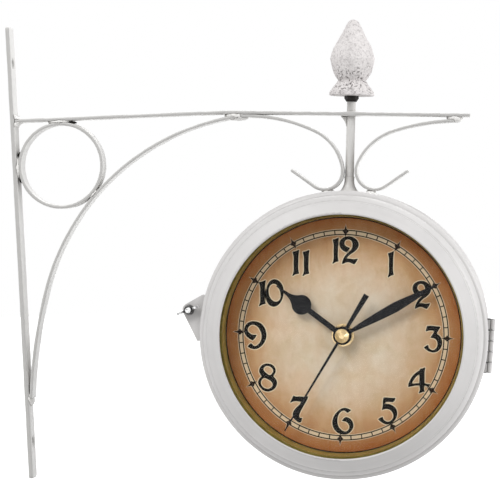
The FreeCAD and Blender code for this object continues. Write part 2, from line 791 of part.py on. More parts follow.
def shell_corners(edge):
    """Half section of a pressed shell, (radius, depth from the middle): lip, sloped bezel,
    step, hollow, rim bead, then a plain band that runs to edge."""
    lip = size.lip_half_depth
    wall = size.shell_wall
    inside = size.drum_radius - wall
    step = lip - size.step_depth
    dip = lip - size.dip_depth
    bead = lip - size.bead_depth
    half = size.bead_half_width
    lip_end = size.lip_radius + size.lip_width
    return [
        (size.lip_radius, lip - wall),
        (size.lip_radius, lip - wall / 2, (size.lip_radius + size.lip_width / 2, lip)),
        (lip_end, lip - wall / 3),
        (size.step_radius, step, (size.step_radius + 0.7, step - size.step_height * 0.4)),
        (
            size.step_radius + 0.3,
            step - size.step_height,
            ((size.step_radius + size.dip_radius) / 2 + 0.9, (step + dip) / 2 + 0.4),
        ),
        (size.dip_radius, dip),
        (size.dip_radius + 0.3, bead + half, (size.bead_radius, bead)),
        (size.drum_radius, bead - half),
        (size.drum_radius, edge),
        (inside, edge),
        (inside, bead + half / 2),
        (size.dip_radius - wall, dip),
        (size.step_radius - wall / 2, step - size.step_height - wall / 2),
        (size.step_radius - wall, step - wall / 2),
    ]


def make_shells():
    half_gap = size.split_gap / 2
    cover_edge = size.split_half_depth + half_gap
    case_edge = half_gap - size.split_half_depth
    cover = turned("front_cover", shell_corners(cover_edge), place=FACES["front"])
    case = new_body("rear_case")
    sketch = new_sketch(case, "XY_Plane")
    closed_outline(sketch, shell_corners(case_edge))
    spin = case.newObject("PartDesign::Revolution", "rear_case_spin")
    spin.Profile = sketch
    spin.ReferenceAxis = (sketch, ["V_Axis"])
    spin.Angle = 360
    hole = new_sketch(case, "XY_Plane")
    circle(hole, size.post_radius + size.post_clearance)
    pocket(case, hole, size.bead_radius, backwards=True)
    node(case, FACES["rear"])
    return cover, case


def make_face_parts(side):
    """Glass, spacer ring, dial and its four clips, stacked behind one lip."""
    place = FACES[side]
    lip = size.lip_half_depth
    glass_back = lip - size.glass_depth - size.glass_thickness
    # the glass rests on the inside of the sloped bezel
    run = size.step_radius - size.shell_wall - size.lip_radius
    fall = size.step_depth - size.shell_wall / 2
    seat = (size.glass_depth - size.shell_wall) * run / fall
    glass_radius = size.lip_radius + seat - size.glass_play
    dial_face = lip - size.dial_depth
    dial_back = dial_face - size.dial_thickness
    turned(
        f"{side}_glass",
        [
            (ZERO, glass_back),
            (glass_radius, glass_back),
            (glass_radius, glass_back + size.glass_thickness),
            (ZERO, glass_back + size.glass_thickness),
        ],
        place=place,
    )
    turned(
        f"{side}_spacer_ring",
        tube_corners(
            size.spacer_radius, size.spacer_radius + size.spacer_wall, dial_face, glass_back
        ),
        place=place,
    )
    turned(
        f"{side}_dial",
        tube_corners(size.bush_radius + size.bush_fit, size.dial_radius, dial_back, dial_face),
        place=place,
    )
    wall = size.drum_radius - size.shell_wall - 0.2
    foot = wall - size.clip_thickness
    grip = size.dial_radius - size.clip_grip
    clips = []
    for number, angle in enumerate((45, 135, 225, 315), start=1):
        clip = new_body(f"{side}_dial_clip_{number}")
        sketch = new_sketch(clip, "XY_Plane")
        closed_outline(
            sketch,
            [
                (grip, dial_back - size.clip_thickness),
                (foot, dial_back - size.clip_thickness),
                (foot, dial_back - size.clip_foot),
                (wall, dial_back - size.clip_foot),
                (wall, dial_back),
                (grip, dial_back),
            ],
        )
        pad(clip, sketch, size.clip_width, both_ways=True)
        clip.Placement = place * turn(Y_AXIS, angle)
        clips.append(clip)
    node(grouped(f"{side}_dial_clips", clips))


# ---------------------------------------------------------------- hinge and latch


def make_hinge(drum):
    """Five knuckles on one pin; each leaf is hollowed to sit on the drum and is notched
    round the other leaf's knuckles."""
    place = CLOCK * turn(Y_AXIS, size.hinge_below_middle.value)
    reach = size.hinge_pin_reach
    pin_y = -size.split_half_depth
    low = -size.hinge_length / 2
    pitch = size.hinge_length / 5
    axis = place * move(reach.value, pin_y.value)
    barrel, gap = size.hinge_barrel_radius, size.hinge_knuckle_gap
    pin = cylinder(
        "hinge_pin", size.hinge_pin_radius, size.hinge_length, axis * move(0, 0, low.value)
    )
    node(pin)
    bore = cylinder(
        "hinge_bore",
        size.hinge_pin_radius + size.hinge_fit,
        size.hinge_length * 2,
        axis * move(0, 0, 2 * low.value),
    )

    def knuckles(label, numbers, extra, shorter):
        pieces = []
        for number in numbers:
            start = low + pitch * number + shorter
            pieces.append(
                cylinder(
                    f"{label}_knuckle_{number}",
                    barrel + extra,
                    pitch - shorter * 2,
                    axis * move(0, 0, start.value),
                )
            )
        return pieces

    inner = size.drum_radius - size.shell_wall
    rise = size.drum_radius + size.hinge_leaf_rise
    for label, numbers, others, y in (
        ("case_hinge_leaf", (0, 2, 4), (1, 3), pin_y + size.split_gap),
        ("cover_hinge_leaf", (1, 3), (0, 2, 4), pin_y - size.split_gap - size.hinge_leaf_width),
    ):
        plate = box(
            f"{label}_plate",
            rise - inner,
            size.hinge_leaf_width,
            size.hinge_length,
            place * move(inner.value, y.value, low.value),
        )
        notches = fused(f"{label}_notches", knuckles(f"{label}_notch", others, gap, -gap / 2))
        notched = cut(f"{label}_notched", plate, notches)
        whole = fused(f"{label}_whole", [notched] + knuckles(label, numbers, ZERO, gap / 2))
        seated = cut(f"{label}_seated", whole, drum)
        node(cut(label, seated, bore))
    return pin


def make_latch():
    """Two lugs on the drum, one each side of the split, and the wing screw through them."""
    up = math.radians(180 - size.latch_above_middle.value)
    reach = size.latch_reach.value
    screw_x, screw_z = reach * math.cos(up), reach * math.sin(up)
    nose = size.lug_nose_radius.value
    foot = size.drum_radius.value - size.shell_wall.value
    shoulder = size.drum_radius.value + size.lug_rise.value

    def lug_end(angle, side):
        """A lug's foot in the drum, its shoulder, and where its edge touches the nose."""
        x, z = shoulder * math.cos(angle), shoulder * math.sin(angle)
        away = math.hypot(x - screw_x, z - screw_z)
        base = math.atan2(z - screw_z, x - screw_x)
        swing = base + side * math.acos(nose / away)
        return (
            (foot * math.cos(angle), foot * math.sin(angle)),
            (x, z),
            (screw_x + nose * math.cos(swing), screw_z + nose * math.sin(swing)),
        )

    top_foot, top_end, top_nose = lug_end(up - math.radians(size.lug_spread_up.value), 1)
    low_foot, low_end, low_nose = lug_end(up + math.radians(size.lug_spread_down.value), -1)
    tip = (screw_x + nose * math.cos(up), screw_z + nose * math.sin(up))
    inner = size.split_half_depth - size.lug_setback
    outer = size.split_half_depth + size.lug_setback + size.lug_thickness
    for label, depth in (("cover_lug", outer), ("case_lug", inner)):
        body = new_body(label)
        sketch = new_sketch(body, "XZ_Plane", depth - size.lug_thickness)
        closed_outline(
            sketch,
            [top_foot, top_end, (*top_nose, tip), low_nose, low_end, low_foot],
            pinned=False,
        )
        pad(body, sketch, size.lug_thickness)
        drum = new_sketch(body, "XZ_Plane", depth)
        circle(drum, size.drum_radius)
        pocket(body, drum, size.lug_thickness * 2, both_ways=True)
        hole = new_sketch(body, "XZ_Plane", depth)
        circle(hole, size.screw_radius + size.screw_clearance, Size(screw_x), Size(screw_z))
        pocket(body, hole, size.lug_thickness * 2, both_ways=True)
        node(body, CLOCK)

    # the screw's own frame: its axis along +Y, from the cover lug's outer face backwards
    axis = CLOCK * move(screw_x, -outer.value, screw_z) * turn(Y_AXIS, -size.wing_tilt.value)
    through = outer - inner + size.lug_thickness + size.screw_past_lug
    hub, shank = size.screw_hub_radius, size.screw_radius
    body = new_body("latch_wing_screw")
    sketch = new_sketch(body, "XY_Plane")
    closed_outline(
        sketch,
        [
            (ZERO, -size.screw_hub_height),
            (hub * 0.72, -size.screw_hub_height),
            (hub, ZERO),
            (shank, ZERO),
            (shank, through - 0.6),
            (shank - 0.5, through),
            (ZERO, through),
        ],
    )
    spin = body.newObject("PartDesign::Revolution", "wing_screw_spin")
    spin.Profile = sketch
    spin.ReferenceAxis = (sketch, ["V_Axis"])
    spin.Angle = 360
    wings = new_sketch(body, "XY_Plane")
    span, tall = size.wing_span, size.wing_height
    for side in (1, -1):
        closed_outline(
            wings,
            [
                (hub * 0.4 * side, -0.8),
                (hub * 0.9 * side, -0.8),
                (span * 0.95 * side, -tall * 0.45, (span * 1.02 * side, -tall * 0.8)),
                (span * 0.72 * side, -tall, (span * 0.52 * side, -tall * 0.86)),
                (hub * 0.4 * side, -tall * 0.55),
            ],
        )
    pad(body, wings, size.wing_thickness, both_ways=True)
    node(body, axis)
    ring_start = size.lug_thickness + 0.3
    turned(
        "latch_snap_ring",
        tube_corners(
            shank, size.snap_ring_radius, ring_start, ring_start + size.snap_ring_thickness
        ),
        place=axis,
    )


# ---------------------------------------------------------------- movements


def make_movement(side):
    """A battery movement behind one dial: housing, lid, battery, contacts, knob and the
    threaded centre bush with the washer and nut that hold it to the dial."""
    place = FACES[side]
    dial_back = size.lip_half_depth - size.dial_depth - size.dial_thickness
    dial_face = dial_back + size.dial_thickness
    back = dial_back - size.movement_depth
    lid_face = back + size.lid_thickness
    half = size.movement_width / 2
    bay_half = size.bay_half_length
    bay_top = size.bay_height / 2 - size.battery_below
    bay_low = -size.bay_height / 2 - size.battery_below
    battery_depth = back + size.bay_height / 2
    bay_floor = back + size.bay_height
    bush_back = dial_face + size.bush_above_dial - size.bush_length
    shaft_back = dial_face - size.arbor_depth - size.arbor_fit * 4

    def square_block(label, low, high):
        body = new_body(label)
        sketch = new_sketch(body, "XZ_Plane", -low)
        rectangle(sketch, -half, -half, half, half)
        block = pad(body, sketch, high - low, backwards=True)
        doc.recompute()
        corners = [
            f"Edge{number}"
            for number, edge in enumerate(block.Shape.Edges, start=1)
            if abs(edge.tangentAt(edge.FirstParameter).y) > 0.99
        ]
        rounding = body.newObject("PartDesign::Fillet", f"{label}_corners")
        rounding.Base = (block, corners)
        bind(rounding, "Radius", size.movement_corner)
        bay = new_sketch(body, "XZ_Plane", -low)
        rectangle(bay, -bay_half, bay_low, bay_half, bay_top)
        stem = new_sketch(body, "XZ_Plane", -low)
        circle(stem, size.knob_stem_radius + size.arbor_fit)
        return body, bay, stem

    lid, bay, stem = square_block(f"{side}_movement_lid", back, lid_face)
    pocket(lid, bay, size.lid_thickness * 2)
    pocket(lid, stem, size.lid_thickness * 2)
    node(lid, place)

    housing, bay, stem = square_block(f"{side}_movement_housing", lid_face, dial_back)
    pocket(housing, bay, bay_floor - lid_face)
    pocket(housing, stem, size.knob_stem + size.arbor_fit)
    seat = new_sketch(housing, "XZ_Plane", -bush_back)
    circle(seat, size.bush_radius)
    pocket(housing, seat, dial_back - bush_back)
    shafts = new_sketch(housing, "XZ_Plane", -shaft_back)
    circle(shafts, size.hour_tube_radius + size.arbor_fit)
    pocket(housing, shafts, bush_back - shaft_back)
    node(housing, place)

    turned(
        f"{side}_centre_bush",
        tube_corners(size.bush_bore, size.bush_radius, bush_back, bush_back + size.bush_length),
        place=place,
    )
    snug = size.bush_radius + size.bush_fit
    turned(
        f"{side}_dial_washer",
        tube_corners(
            snug, size.dial_washer_radius, dial_face, dial_face + size.dial_washer_thickness
        ),
        place=place,
    )
    nut_low = dial_face + size.dial_washer_thickness
    make_nut(
        f"{side}_dial_nut",
        size.dial_nut_flats,
        size.dial_nut_height,
        snug,
        place * move(0, nut_low.value),
        role="XZ_Plane",
        backwards=True,
    )

    start = -size.battery_length / 2
    turned(
        f"{side}_battery",
        [
            (ZERO, start),
            (size.battery_radius, start),
            (size.battery_radius, -start),
            (size.battery_tip_radius, -start),
            (size.battery_tip_radius, size.battery_tip - start),
            (ZERO, size.battery_tip - start),
        ],
        place=place
        * move(0, battery_depth.value, -size.battery_below.value)
        * turn(Z_AXIS, -90),
    )
    contacts = []
    for number, x in enumerate((-bay_half, bay_half - size.contact_thickness), start=1):
        contacts.append(
            box(
                f"{side}_contact_{number}",
                size.contact_thickness,
                size.battery_radius,
                size.battery_radius,
                place
                * move(
                    x.value,
                    battery_depth.value - size.battery_radius.value / 2,
                    -size.battery_below.value - size.battery_radius.value / 2,
                ),
            )
        )
    node(grouped(f"{side}_battery_contacts", contacts))

    knob_low = back - size.knob_gap - size.knob_height
    turned(
        f"{side}_setting_knob",
        [
            (ZERO, knob_low),
            (size.knob_radius - 0.4, knob_low),
            (size.knob_radius, knob_low + 0.4),
            (size.knob_radius, back - size.knob_gap),
            (size.knob_stem_radius, back - size.knob_gap),
            (size.knob_stem_radius, lid_face + size.knob_stem),
            (ZERO, lid_face + size.knob_stem),
        ],
        place=place,
    )


def make_hand(label, place, angle, outline, lift, hub, arbor, bore):
    """A flat hand on its own arbor, turned to the time it shows."""
    body = new_body(label)
    dial_face = size.lip_half_depth - size.dial_depth
    low = dial_face + lift
    blade = new_sketch(body, "XZ_Plane", -low)
    closed_outline(blade, outline)
    pad(body, blade, size.hand_thickness, backwards=True)
    disc = new_sketch(body, "XZ_Plane", -low)
    circle(disc, hub)
    pad(body, disc, size.hand_thickness, backwards=True)
    start = dial_face - size.arbor_depth
    shaft = new_sketch(body, "XZ_Plane", -start)
    circle(shaft, arbor)
    top = low + size.hand_thickness * 2
    pad(body, shaft, top - start, backwards=True)
    if bore is not None:
        hole = new_sketch(body, "XZ_Plane", -start)
        circle(hole, bore)
        pocket(body, hole, top - start)
    # seen from the face's own side, +X is on the left, so a clockwise angle is negative
    return node(body, place * turn(Y_AXIS, -angle.value))


def mirrored_outline(right_side):
    """Close a half outline, listed from root to tip on the +X side, with its mirror image."""
    corners = list(right_side)
    for index in range(len(right_side) - 1, -1, -1):
        corner = right_side[index]
        if as_size(corner[0]).value == 0.0:
            continue
        mirror = (-as_size(corner[0]), corner[1])
        before = right_side[index - 1] if index > 0 else ()
        if len(before) == 3:
            mirror += ((-as_size(before[2][0]), before[2][1]),)
        corners.append(mirror)
    return corners


def make_hands(side):
    place = FACES[side]
    bulb, bulb_at = size.hour_bulb_radius, size.hour_hand_length - size.hour_bulb_from_tip
    stem = size.hour_stem_half
    make_hand(
        f"{side}_hour_hand",
        place,
        size.hour_angle,
        mirrored_outline(
            [
                (stem, ZERO),
                (stem, bulb_at - bulb * 0.95, (bulb, bulb_at - bulb * 0.05)),
                (bulb * 0.78, bulb_at + bulb * 0.65, (bulb * 0.36, bulb_at + bulb * 1.2)),
                (bulb * 0.17, bulb_at + bulb * 1.95),
                (Size(0.25), size.hour_hand_length),
            ]
        ),
        size.hour_hand_lift,
        size.hub_radius,
        size.hour_tube_radius,
        size.minute_arbor_radius + size.arbor_fit,
    )
    leaf, leaf_at = size.minute_leaf_half, size.minute_hand_length - size.minute_leaf_from_tip
    root = size.minute_root_half
    beyond = size.minute_leaf_from_tip
    make_hand(
        f"{side}_minute_hand",
        place,
        size.minute_angle,
        mirrored_outline(
            [
                (root, ZERO),
                (root, leaf_at * 0.2, (leaf * 0.8, leaf_at * 0.62)),
                (leaf, leaf_at, (leaf * 0.66, leaf_at + beyond * 0.45)),
                (Size(0.25), size.minute_hand_length),
            ]
        ),
        size.hour_hand_lift + size.hand_spacing,
        size.hub_radius,
        size.minute_arbor_radius,
        size.second_arbor_radius + size.arbor_fit,
    )
    second_lift = size.hour_hand_lift + size.hand_spacing * 2
    make_hand(
        f"{side}_second_hand",
        place,
        size.second_angle,
        mirrored_outline(
            [
                (size.second_tail_half, -size.second_tail_length),
                (size.second_root_half, ZERO),
                (size.second_tip_half, size.second_hand_length),
            ]
        ),
        second_lift,
        size.second_hub_radius,
        size.second_arbor_radius,
        None,
    )
    cap_low = size.lip_half_depth - size.dial_depth + second_lift + size.hand_thickness
    cap_top = cap_low + size.cap_height
    pin = size.second_arbor_radius
    turned(
        f"{side}_brass_cap",
        [
            (pin, cap_low),
            (size.cap_radius, cap_low),
            (size.cap_radius, cap_low + size.cap_height * 0.25),
            (size.cap_top_radius, cap_top - 0.2),
            (ZERO, cap_top),
            (ZERO, cap_low + size.hand_thickness),
            (pin, cap_low + size.hand_thickness),
        ],
        place=place,
    )


# ---------------------------------------------------------------- welds


def bead(label, place, half_length, half_height, neighbours):
    """A weld bead: a flattened blob, trimmed by the pieces that it joins."""
    blob = doc.addObject("Part::Ellipsoid", f"{label}_blob")
    bind(blob, "Radius1", half_height)
    bind(blob, "Radius2", half_length)
    bind(blob, "Radius3", size.strip_width / 2 + size.weld_overhang)
    blob.Placement = place
    return cut(label, blob, fused(f"{label}_pieces", neighbours))


def bead_between(label, first, second, half_length, half_height, others=()):
    """A bead where two pieces come nearest, its length across the gap's direction."""
    _, nearest, _ = first.Shape.distToShape(second.Shape)
    here, there = nearest[0]
    gap = there - here
    middle = (here + there) / 2
    tilt = math.degrees(math.atan2(gap.x, gap.z))
    place = move(middle.x, 0, middle.z) * turn(Y_AXIS, tilt)
    return bead(label, place, half_length, half_height, [first, second, *others])


def corner_bead(label, above):
    """A hollow fillet between the wall bar and the arm."""
    leg = size.corner_bead
    lean = math.radians(size.arm_lean.value)
    side = 1 if above else -1
    edge = size.arm_thickness / 2 * side / math.cos(lean)
    far_edge = edge - leg * math.tan(lean)
    body = new_body(label)
    sketch = new_sketch(body, "XZ_Plane")
    closed_outline(
        sketch,
        [
            (ZERO, edge),
            (leg, far_edge, (leg * 0.3, edge + leg * 0.3 * side)),
            (ZERO, edge + leg * side),
        ],
    )
    pad(body, sketch, size.strip_width, both_ways=True)
    body.Placement = ARM_SEAT
    return body


def make_welds(bar, arm, ring, arch, left, right, post, drum):
    doc.recompute()
    long, thin = size.long_bead, size.thin_bead
    short, fat = size.short_bead, size.fat_bead
    under = -size.arm_thickness.value
    bend = ARM_OUTER * move(size.left_scroll_start.value - 2.5, 0, under)
    grouped_beads = [
        corner_bead("bead_above_arm", True),
        corner_bead("bead_below_arm", False),
        bead_between("bead_ring_arm", ring, arm, long, thin),
        bead_between("bead_ring_bar", ring, bar, long, thin),
        bead_between("bead_ring_arch", ring, arch, short, thin),
        bead_between("bead_arch_foot", arch, bar, short, thin),
        bead("bead_bend", bend, long, fat, [arm, arch, left]),
        bead_between("bead_right_scroll", right, arm, short, fat),
        bead_between("bead_left_on_case", left, drum, short * 0.8, fat),
        bead_between("bead_right_on_case", right, drum, short * 0.6, fat, [post]),
    ]
    node(grouped("bracket_welds", grouped_beads))


def build():
    bar = make_wall_bar()
    arm = make_arm()
    ring = make_ring()
    arch = make_arch()
    left, right = make_scrolls()
    post = make_post_and_finial()
    half_depth = size.lip_half_depth
    drum = cylinder(
        "drum_blank",
        size.drum_radius,
        half_depth * 2,
        CLOCK * move(0, half_depth.value) * turn(X_AXIS, 90),
    )
    make_post_foot(drum)
    make_gusset(post)
    make_shells()
    for side in FACES:
        make_face_parts(side)
        make_movement(side)
        make_hands(side)
    make_hinge(drum)
    make_latch()
    make_welds(bar, arm, ring, arch, left, right, post, drum)


def check_and_write():
    """Refuse a failed object or an unsound shape, then write one file per sub-part."""
    doc.recompute()
    for thing in doc.Objects:
        if "Invalid" in thing.State or "Error" in thing.State:
            raise RuntimeError(f"{thing.Label} failed: {thing.State}")
    for thing in nodes:
        if thing.Shape.isNull() or not thing.Shape.isValid() or not thing.Shape.Solids:
            raise RuntimeError(f"{thing.Label} has no sound solid")
    os.makedirs("parts", exist_ok=True)
    for thing in nodes:
        thing.Shape.exportStep(f"parts/{thing.Label}.step")
        print(thing.Label, len(thing.Shape.Solids), round(thing.Shape.Volume, 1))


build()
check_and_write()
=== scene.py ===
import json
import math

import bmesh
import bpy
from mathutils import Matrix, Vector, noise


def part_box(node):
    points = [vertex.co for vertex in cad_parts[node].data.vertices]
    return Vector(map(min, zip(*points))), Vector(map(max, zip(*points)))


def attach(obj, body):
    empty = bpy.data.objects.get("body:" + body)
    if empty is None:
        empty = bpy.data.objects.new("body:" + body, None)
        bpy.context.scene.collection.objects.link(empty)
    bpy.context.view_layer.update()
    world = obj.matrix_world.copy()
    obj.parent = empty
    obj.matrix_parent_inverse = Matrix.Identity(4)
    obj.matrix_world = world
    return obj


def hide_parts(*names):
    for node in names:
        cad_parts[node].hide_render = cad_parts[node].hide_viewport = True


# A white round two-faced clock on a wrought bracket. Lengths are in metres; the
# helper mm() turns millimetres into metres.

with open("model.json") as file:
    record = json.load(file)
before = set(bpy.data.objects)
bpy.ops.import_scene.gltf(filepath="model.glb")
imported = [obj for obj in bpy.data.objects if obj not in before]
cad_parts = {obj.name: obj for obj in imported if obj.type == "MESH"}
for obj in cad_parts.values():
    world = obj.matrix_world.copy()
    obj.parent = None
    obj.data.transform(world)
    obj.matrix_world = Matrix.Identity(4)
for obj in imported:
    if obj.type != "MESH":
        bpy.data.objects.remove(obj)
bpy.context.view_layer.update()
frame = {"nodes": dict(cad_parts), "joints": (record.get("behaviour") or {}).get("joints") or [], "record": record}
NODES = frame["nodes"]
SCENE = bpy.context.scene


def mm(value):
    return value / 1000.0


# ------------------------------------------------------------------ places

JOINTS = {joint["name"]: joint for joint in frame["joints"]}
CENTRE = Vector(JOINTS["front_second_hand_turn"]["pos_m"])
TILT = math.radians(4.4)  # the post and the clock hang this far out of plumb
TILTED = Matrix.Translation(CENTRE) @ Matrix.Rotation(TILT, 4, "Y")
DIAL_DEPTH = -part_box("front_dial")[0].y
# right, up and outwards on each face, as its own viewer sees it
FACES = {
    "front": TILTED @ Matrix(((1, 0, 0, 0), (0, 0, -1, 0), (0, 1, 0, 0), (0, 0, 0, 1))),
    "rear": TILTED @ Matrix(((-1, 0, 0, 0), (0, 0, 1, 0), (0, 1, 0, 0), (0, 0, 0, 1))),
}
FACE_BODY = {"front": "cover", "rear": "bracket"}
# the finial's seat above the clock's middle, along the post, and its height, in millimetres
FINIAL_SEAT = 151.3
FINIAL_HEIGHT = 49.0


def add_object(name, data, place=None):
    made = bpy.data.objects.new(name, data)
    SCENE.collection.objects.link(made)
    if place is not None:
        made.matrix_world = place
    return made


def to_data(name, mesh):
    """Mesh data from what a bmesh holds."""
    data = bpy.data.meshes.new(name)
    mesh.to_mesh(data)
    mesh.free()
    return data


def circle(mesh, radius, height, steps):
    """Vertices round a face's middle, clockwise from the top as its viewer sees them."""
    angles = [2 * math.pi * k / steps for k in range(steps)]
    return [mesh.verts.new((radius * math.sin(a), radius * math.cos(a), height)) for a in angles]


def join_rows(mesh, first, second):
    """Faces all round between two closed rows of vertices."""
    for k in range(len(first)):
        j = (k + 1) % len(first)
        mesh.faces.new((first[k], first[j], second[j], second[k]))


# ------------------------------------------------------------------ camera

SENSOR = 36
LENS = 152.48
CAMERA_PLACE = Vector((0.31924, -1.34869, 0.0164))
# degrees: turned to its left, lowered, and tipped in the plane of the picture
YAW, PITCH, ROLL = 7.0947, 0.9196, -2.9386

camera_data = bpy.data.cameras.new("camera")
camera_data.sensor_width = SENSOR
camera_data.lens = LENS
camera_data.clip_start = 0.05
camera_data.clip_end = 50
yaw, pitch, roll = math.radians(YAW), math.radians(PITCH), math.radians(ROLL)
looking = Matrix.Rotation(yaw, 3, "Z") @ Matrix.Rotation(-pitch, 3, "X")
forward, right, above = looking.col[1], looking.col[0], looking.col[2]
image_right = math.cos(roll) * right + math.sin(roll) * above
image_up = -math.sin(roll) * right + math.cos(roll) * above
aim = Matrix((image_right, image_up, -forward)).transposed().to_4x4()
aim.translation = CAMERA_PLACE
camera = add_object("camera", camera_data, aim)
SCENE.camera = camera


# ------------------------------------------------------------------ node helpers


class Shader:
    """A material, new or a copy of another, and short ways to add its nodes."""

    def __init__(self, name, copied=None):
        if copied:
            self.material = copied.copy()
            self.material.name = name
            self.tree = self.material.node_tree
            self.here = self.find("TexCoord").outputs["Object"]
            return
        self.material = bpy.data.materials.new(name)
        self.material.use_nodes = True
        self.tree = self.material.node_tree
        self.tree.nodes.clear()
        self.output = self.tree.nodes.new("ShaderNodeOutputMaterial")
        self.here = self.add("TexCoord").outputs["Object"]

    def find(self, kind):
        return next(node for node in self.tree.nodes if node.bl_idname == "ShaderNode" + kind)

    def feed(self, socket, value):
        if isinstance(value, bpy.types.NodeSocket):
            self.tree.links.new(value, socket)
        else:
            socket.default_value = value

    def add(self, kind, settings=None, **inputs):
        made = self.tree.nodes.new("ShaderNode" + kind)
        for key, value in (settings or {}).items():
            setattr(made, key, value)
        for key, value in inputs.items():
            self.feed(made.inputs[key.replace("_", " ")], value)
        return made

    def noise(self, size, detail=2.0, rough=0.5, where=None, twist=0.0):
        """Noise whose blotches are about size across."""
        return self.add(
            "TexNoise",
            Vector=where or self.here,
            Scale=1.0 / size,
            Detail=detail,
            Roughness=rough,
            Distortion=twist,
        ).outputs[0]

    def maths(self, operation, a, b=0.0, clamp=False):
        made = self.add("Math", {"operation": operation, "use_clamp": clamp})
        self.feed(made.inputs[0], a)
        self.feed(made.inputs[1], b)
        return made.outputs[0]

    def vector(self, operation, a, b=None):
        made = self.add("VectorMath", {"operation": operation})
        self.feed(made.inputs[0], a)
        if b is not None:
            self.feed(made.inputs[1], b)
        return made.outputs["Value" if operation in ("LENGTH", "DOT_PRODUCT") else "Vector"]

    def part_of(self, vector, axis):
        return self.add("SeparateXYZ", Vector=vector).outputs[axis]

    def from_axis(self, middle):
        """Distance from the line through middle along Y."""
        flat = self.vector("MULTIPLY", self.vector("SUBTRACT", self.here, middle), (1, 0, 1))
        return self.vector("LENGTH", flat)

    def span(self, value, low, high, to_low=0.0, to_high=1.0):
        """The value taken from low..high to to_low..to_high, and held at those ends."""
        made = self.add("MapRange", Value=value, From_Min=low, From_Max=high)
        made.inputs["To Min"].default_value = to_low
        made.inputs["To Max"].default_value = to_high
        return made.outputs[0]

    def blend(self, factor, a, b, how="MIX"):
        made = self.add("Mix", {"data_type": "RGBA", "blend_type": how, "clamp_factor": True})
        self.feed(made.inputs[0], factor)
        self.feed(made.inputs[6], (*a, 1.0) if isinstance(a, tuple) else a)
        self.feed(made.inputs[7], (*b, 1.0) if isinstance(b, tuple) else b)
        return made.outputs[2]

    def ramp(self, value, *stops):
        made = self.add("ValToRGB", Fac=value)
        elements = made.color_ramp.elements
        while len(elements) < len(stops):
            elements.new(0.5)
        for element, (place, colour) in zip(elements, stops):
            element.position = place
            element.color = (*colour, 1.0)
        return made.outputs[0]

    def bump(self, height, depth, below=None):
        made = self.add("Bump", Height=height, Distance=depth)
        if below is not None:
            self.feed(made.inputs["Normal"], below)
        return made.outputs[0]

    def openness(self, reach):
        """1 in the open, falling to 0 deep in corners."""
        made = self.add("AmbientOcclusion", {"samples": 6}, Distance=reach)
        return made.outputs["AO"]

    def principled(self, **inputs):
        made = self.add("BsdfPrincipled", **inputs)
        self.tree.links.new(made.outputs[0], self.output.inputs[0])
        return made


def srgb(red, green, blue):
    """A colour written as it looks on a screen, 0 to 255."""
    return tuple(
        c / 12.92 if c <= 0.04045 else ((c + 0.055) / 1.055) ** 2.4
        for c in (red / 255, green / 255, blue / 255)
    )


# ------------------------------------------------------------------ materials


def paint(name, colour, shade, grime_and_shade, rough, peel, lump_size, lump, corner_shade_share=1.0, edge=None):
    """Thick sprayed paint: slow changes of tone, orange peel, specks of grime, and painted shade that darkens
    corners, hollows and the narrowest gaps. Faces square to Y take the tone edge, where one is given, as painted
    shade."""
    s = Shader(name)
    tone = s.blend(s.noise(mm(38), 3.0), shade, colour)
    # painted shade: faces square to Y, which face the way the dials do, take the darker edge tone
    if edge:
        across = s.part_of(s.add("NewGeometry").outputs["Normal"], "Y")
        shaded_side = s.span(s.maths("ABSOLUTE", across), 0.55, 0.9)
        paler = tuple(c * 1.12 for c in edge)
        tone = s.blend(shaded_side, tone, s.blend(s.noise(mm(6), 3.0), edge, paler))
    speck = s.span(s.noise(mm(1.1), 3.0, 0.6), 0.66, 0.78)
    tone = s.blend(s.maths("MULTIPLY", speck, 0.12), tone, grime_and_shade)
    # painted shade: darker in corners and between parts, where the surface is hemmed in, patchy with noise
    wide = s.maths("SUBTRACT", 1.0, s.openness(mm(6)))
    near = s.maths("SUBTRACT", 1.0, s.openness(mm(1.2)))
    corner_shade = s.maths("MULTIPLY", wide, s.span(s.noise(mm(7), 3.0), 0.2, 0.8, 0.25, 0.7))
    corner_shade = s.maths("MAXIMUM", corner_shade, s.maths("MULTIPLY", near, 0.95))
    tone = s.blend(s.maths("MULTIPLY", corner_shade, corner_shade_share, clamp=True), tone, grime_and_shade)
    # painted shadow: near black in the narrowest gaps
    tone = s.blend(s.span(near, 0.55, 0.85), tone, srgb(38, 34, 31))
    relief = s.bump(s.noise(lump_size, 3.0, 0.55), lump)
    relief = s.bump(s.noise(mm(0.9), 1.0), peel, relief)
    # painted shade: darker in hollows and creases
    hollow = s.add("NewGeometry").outputs["Pointiness"]
    tone = s.blend(s.span(hollow, 0.49, 0.43, 0.0, 0.55), tone, grime_and_shade)
    gloss = s.span(s.noise(mm(11), 2.0), 0.3, 0.7, rough - 0.05, rough + 0.07)
    s.principled(Base_Color=tone, Roughness=gloss, Normal=relief)
    return s.material


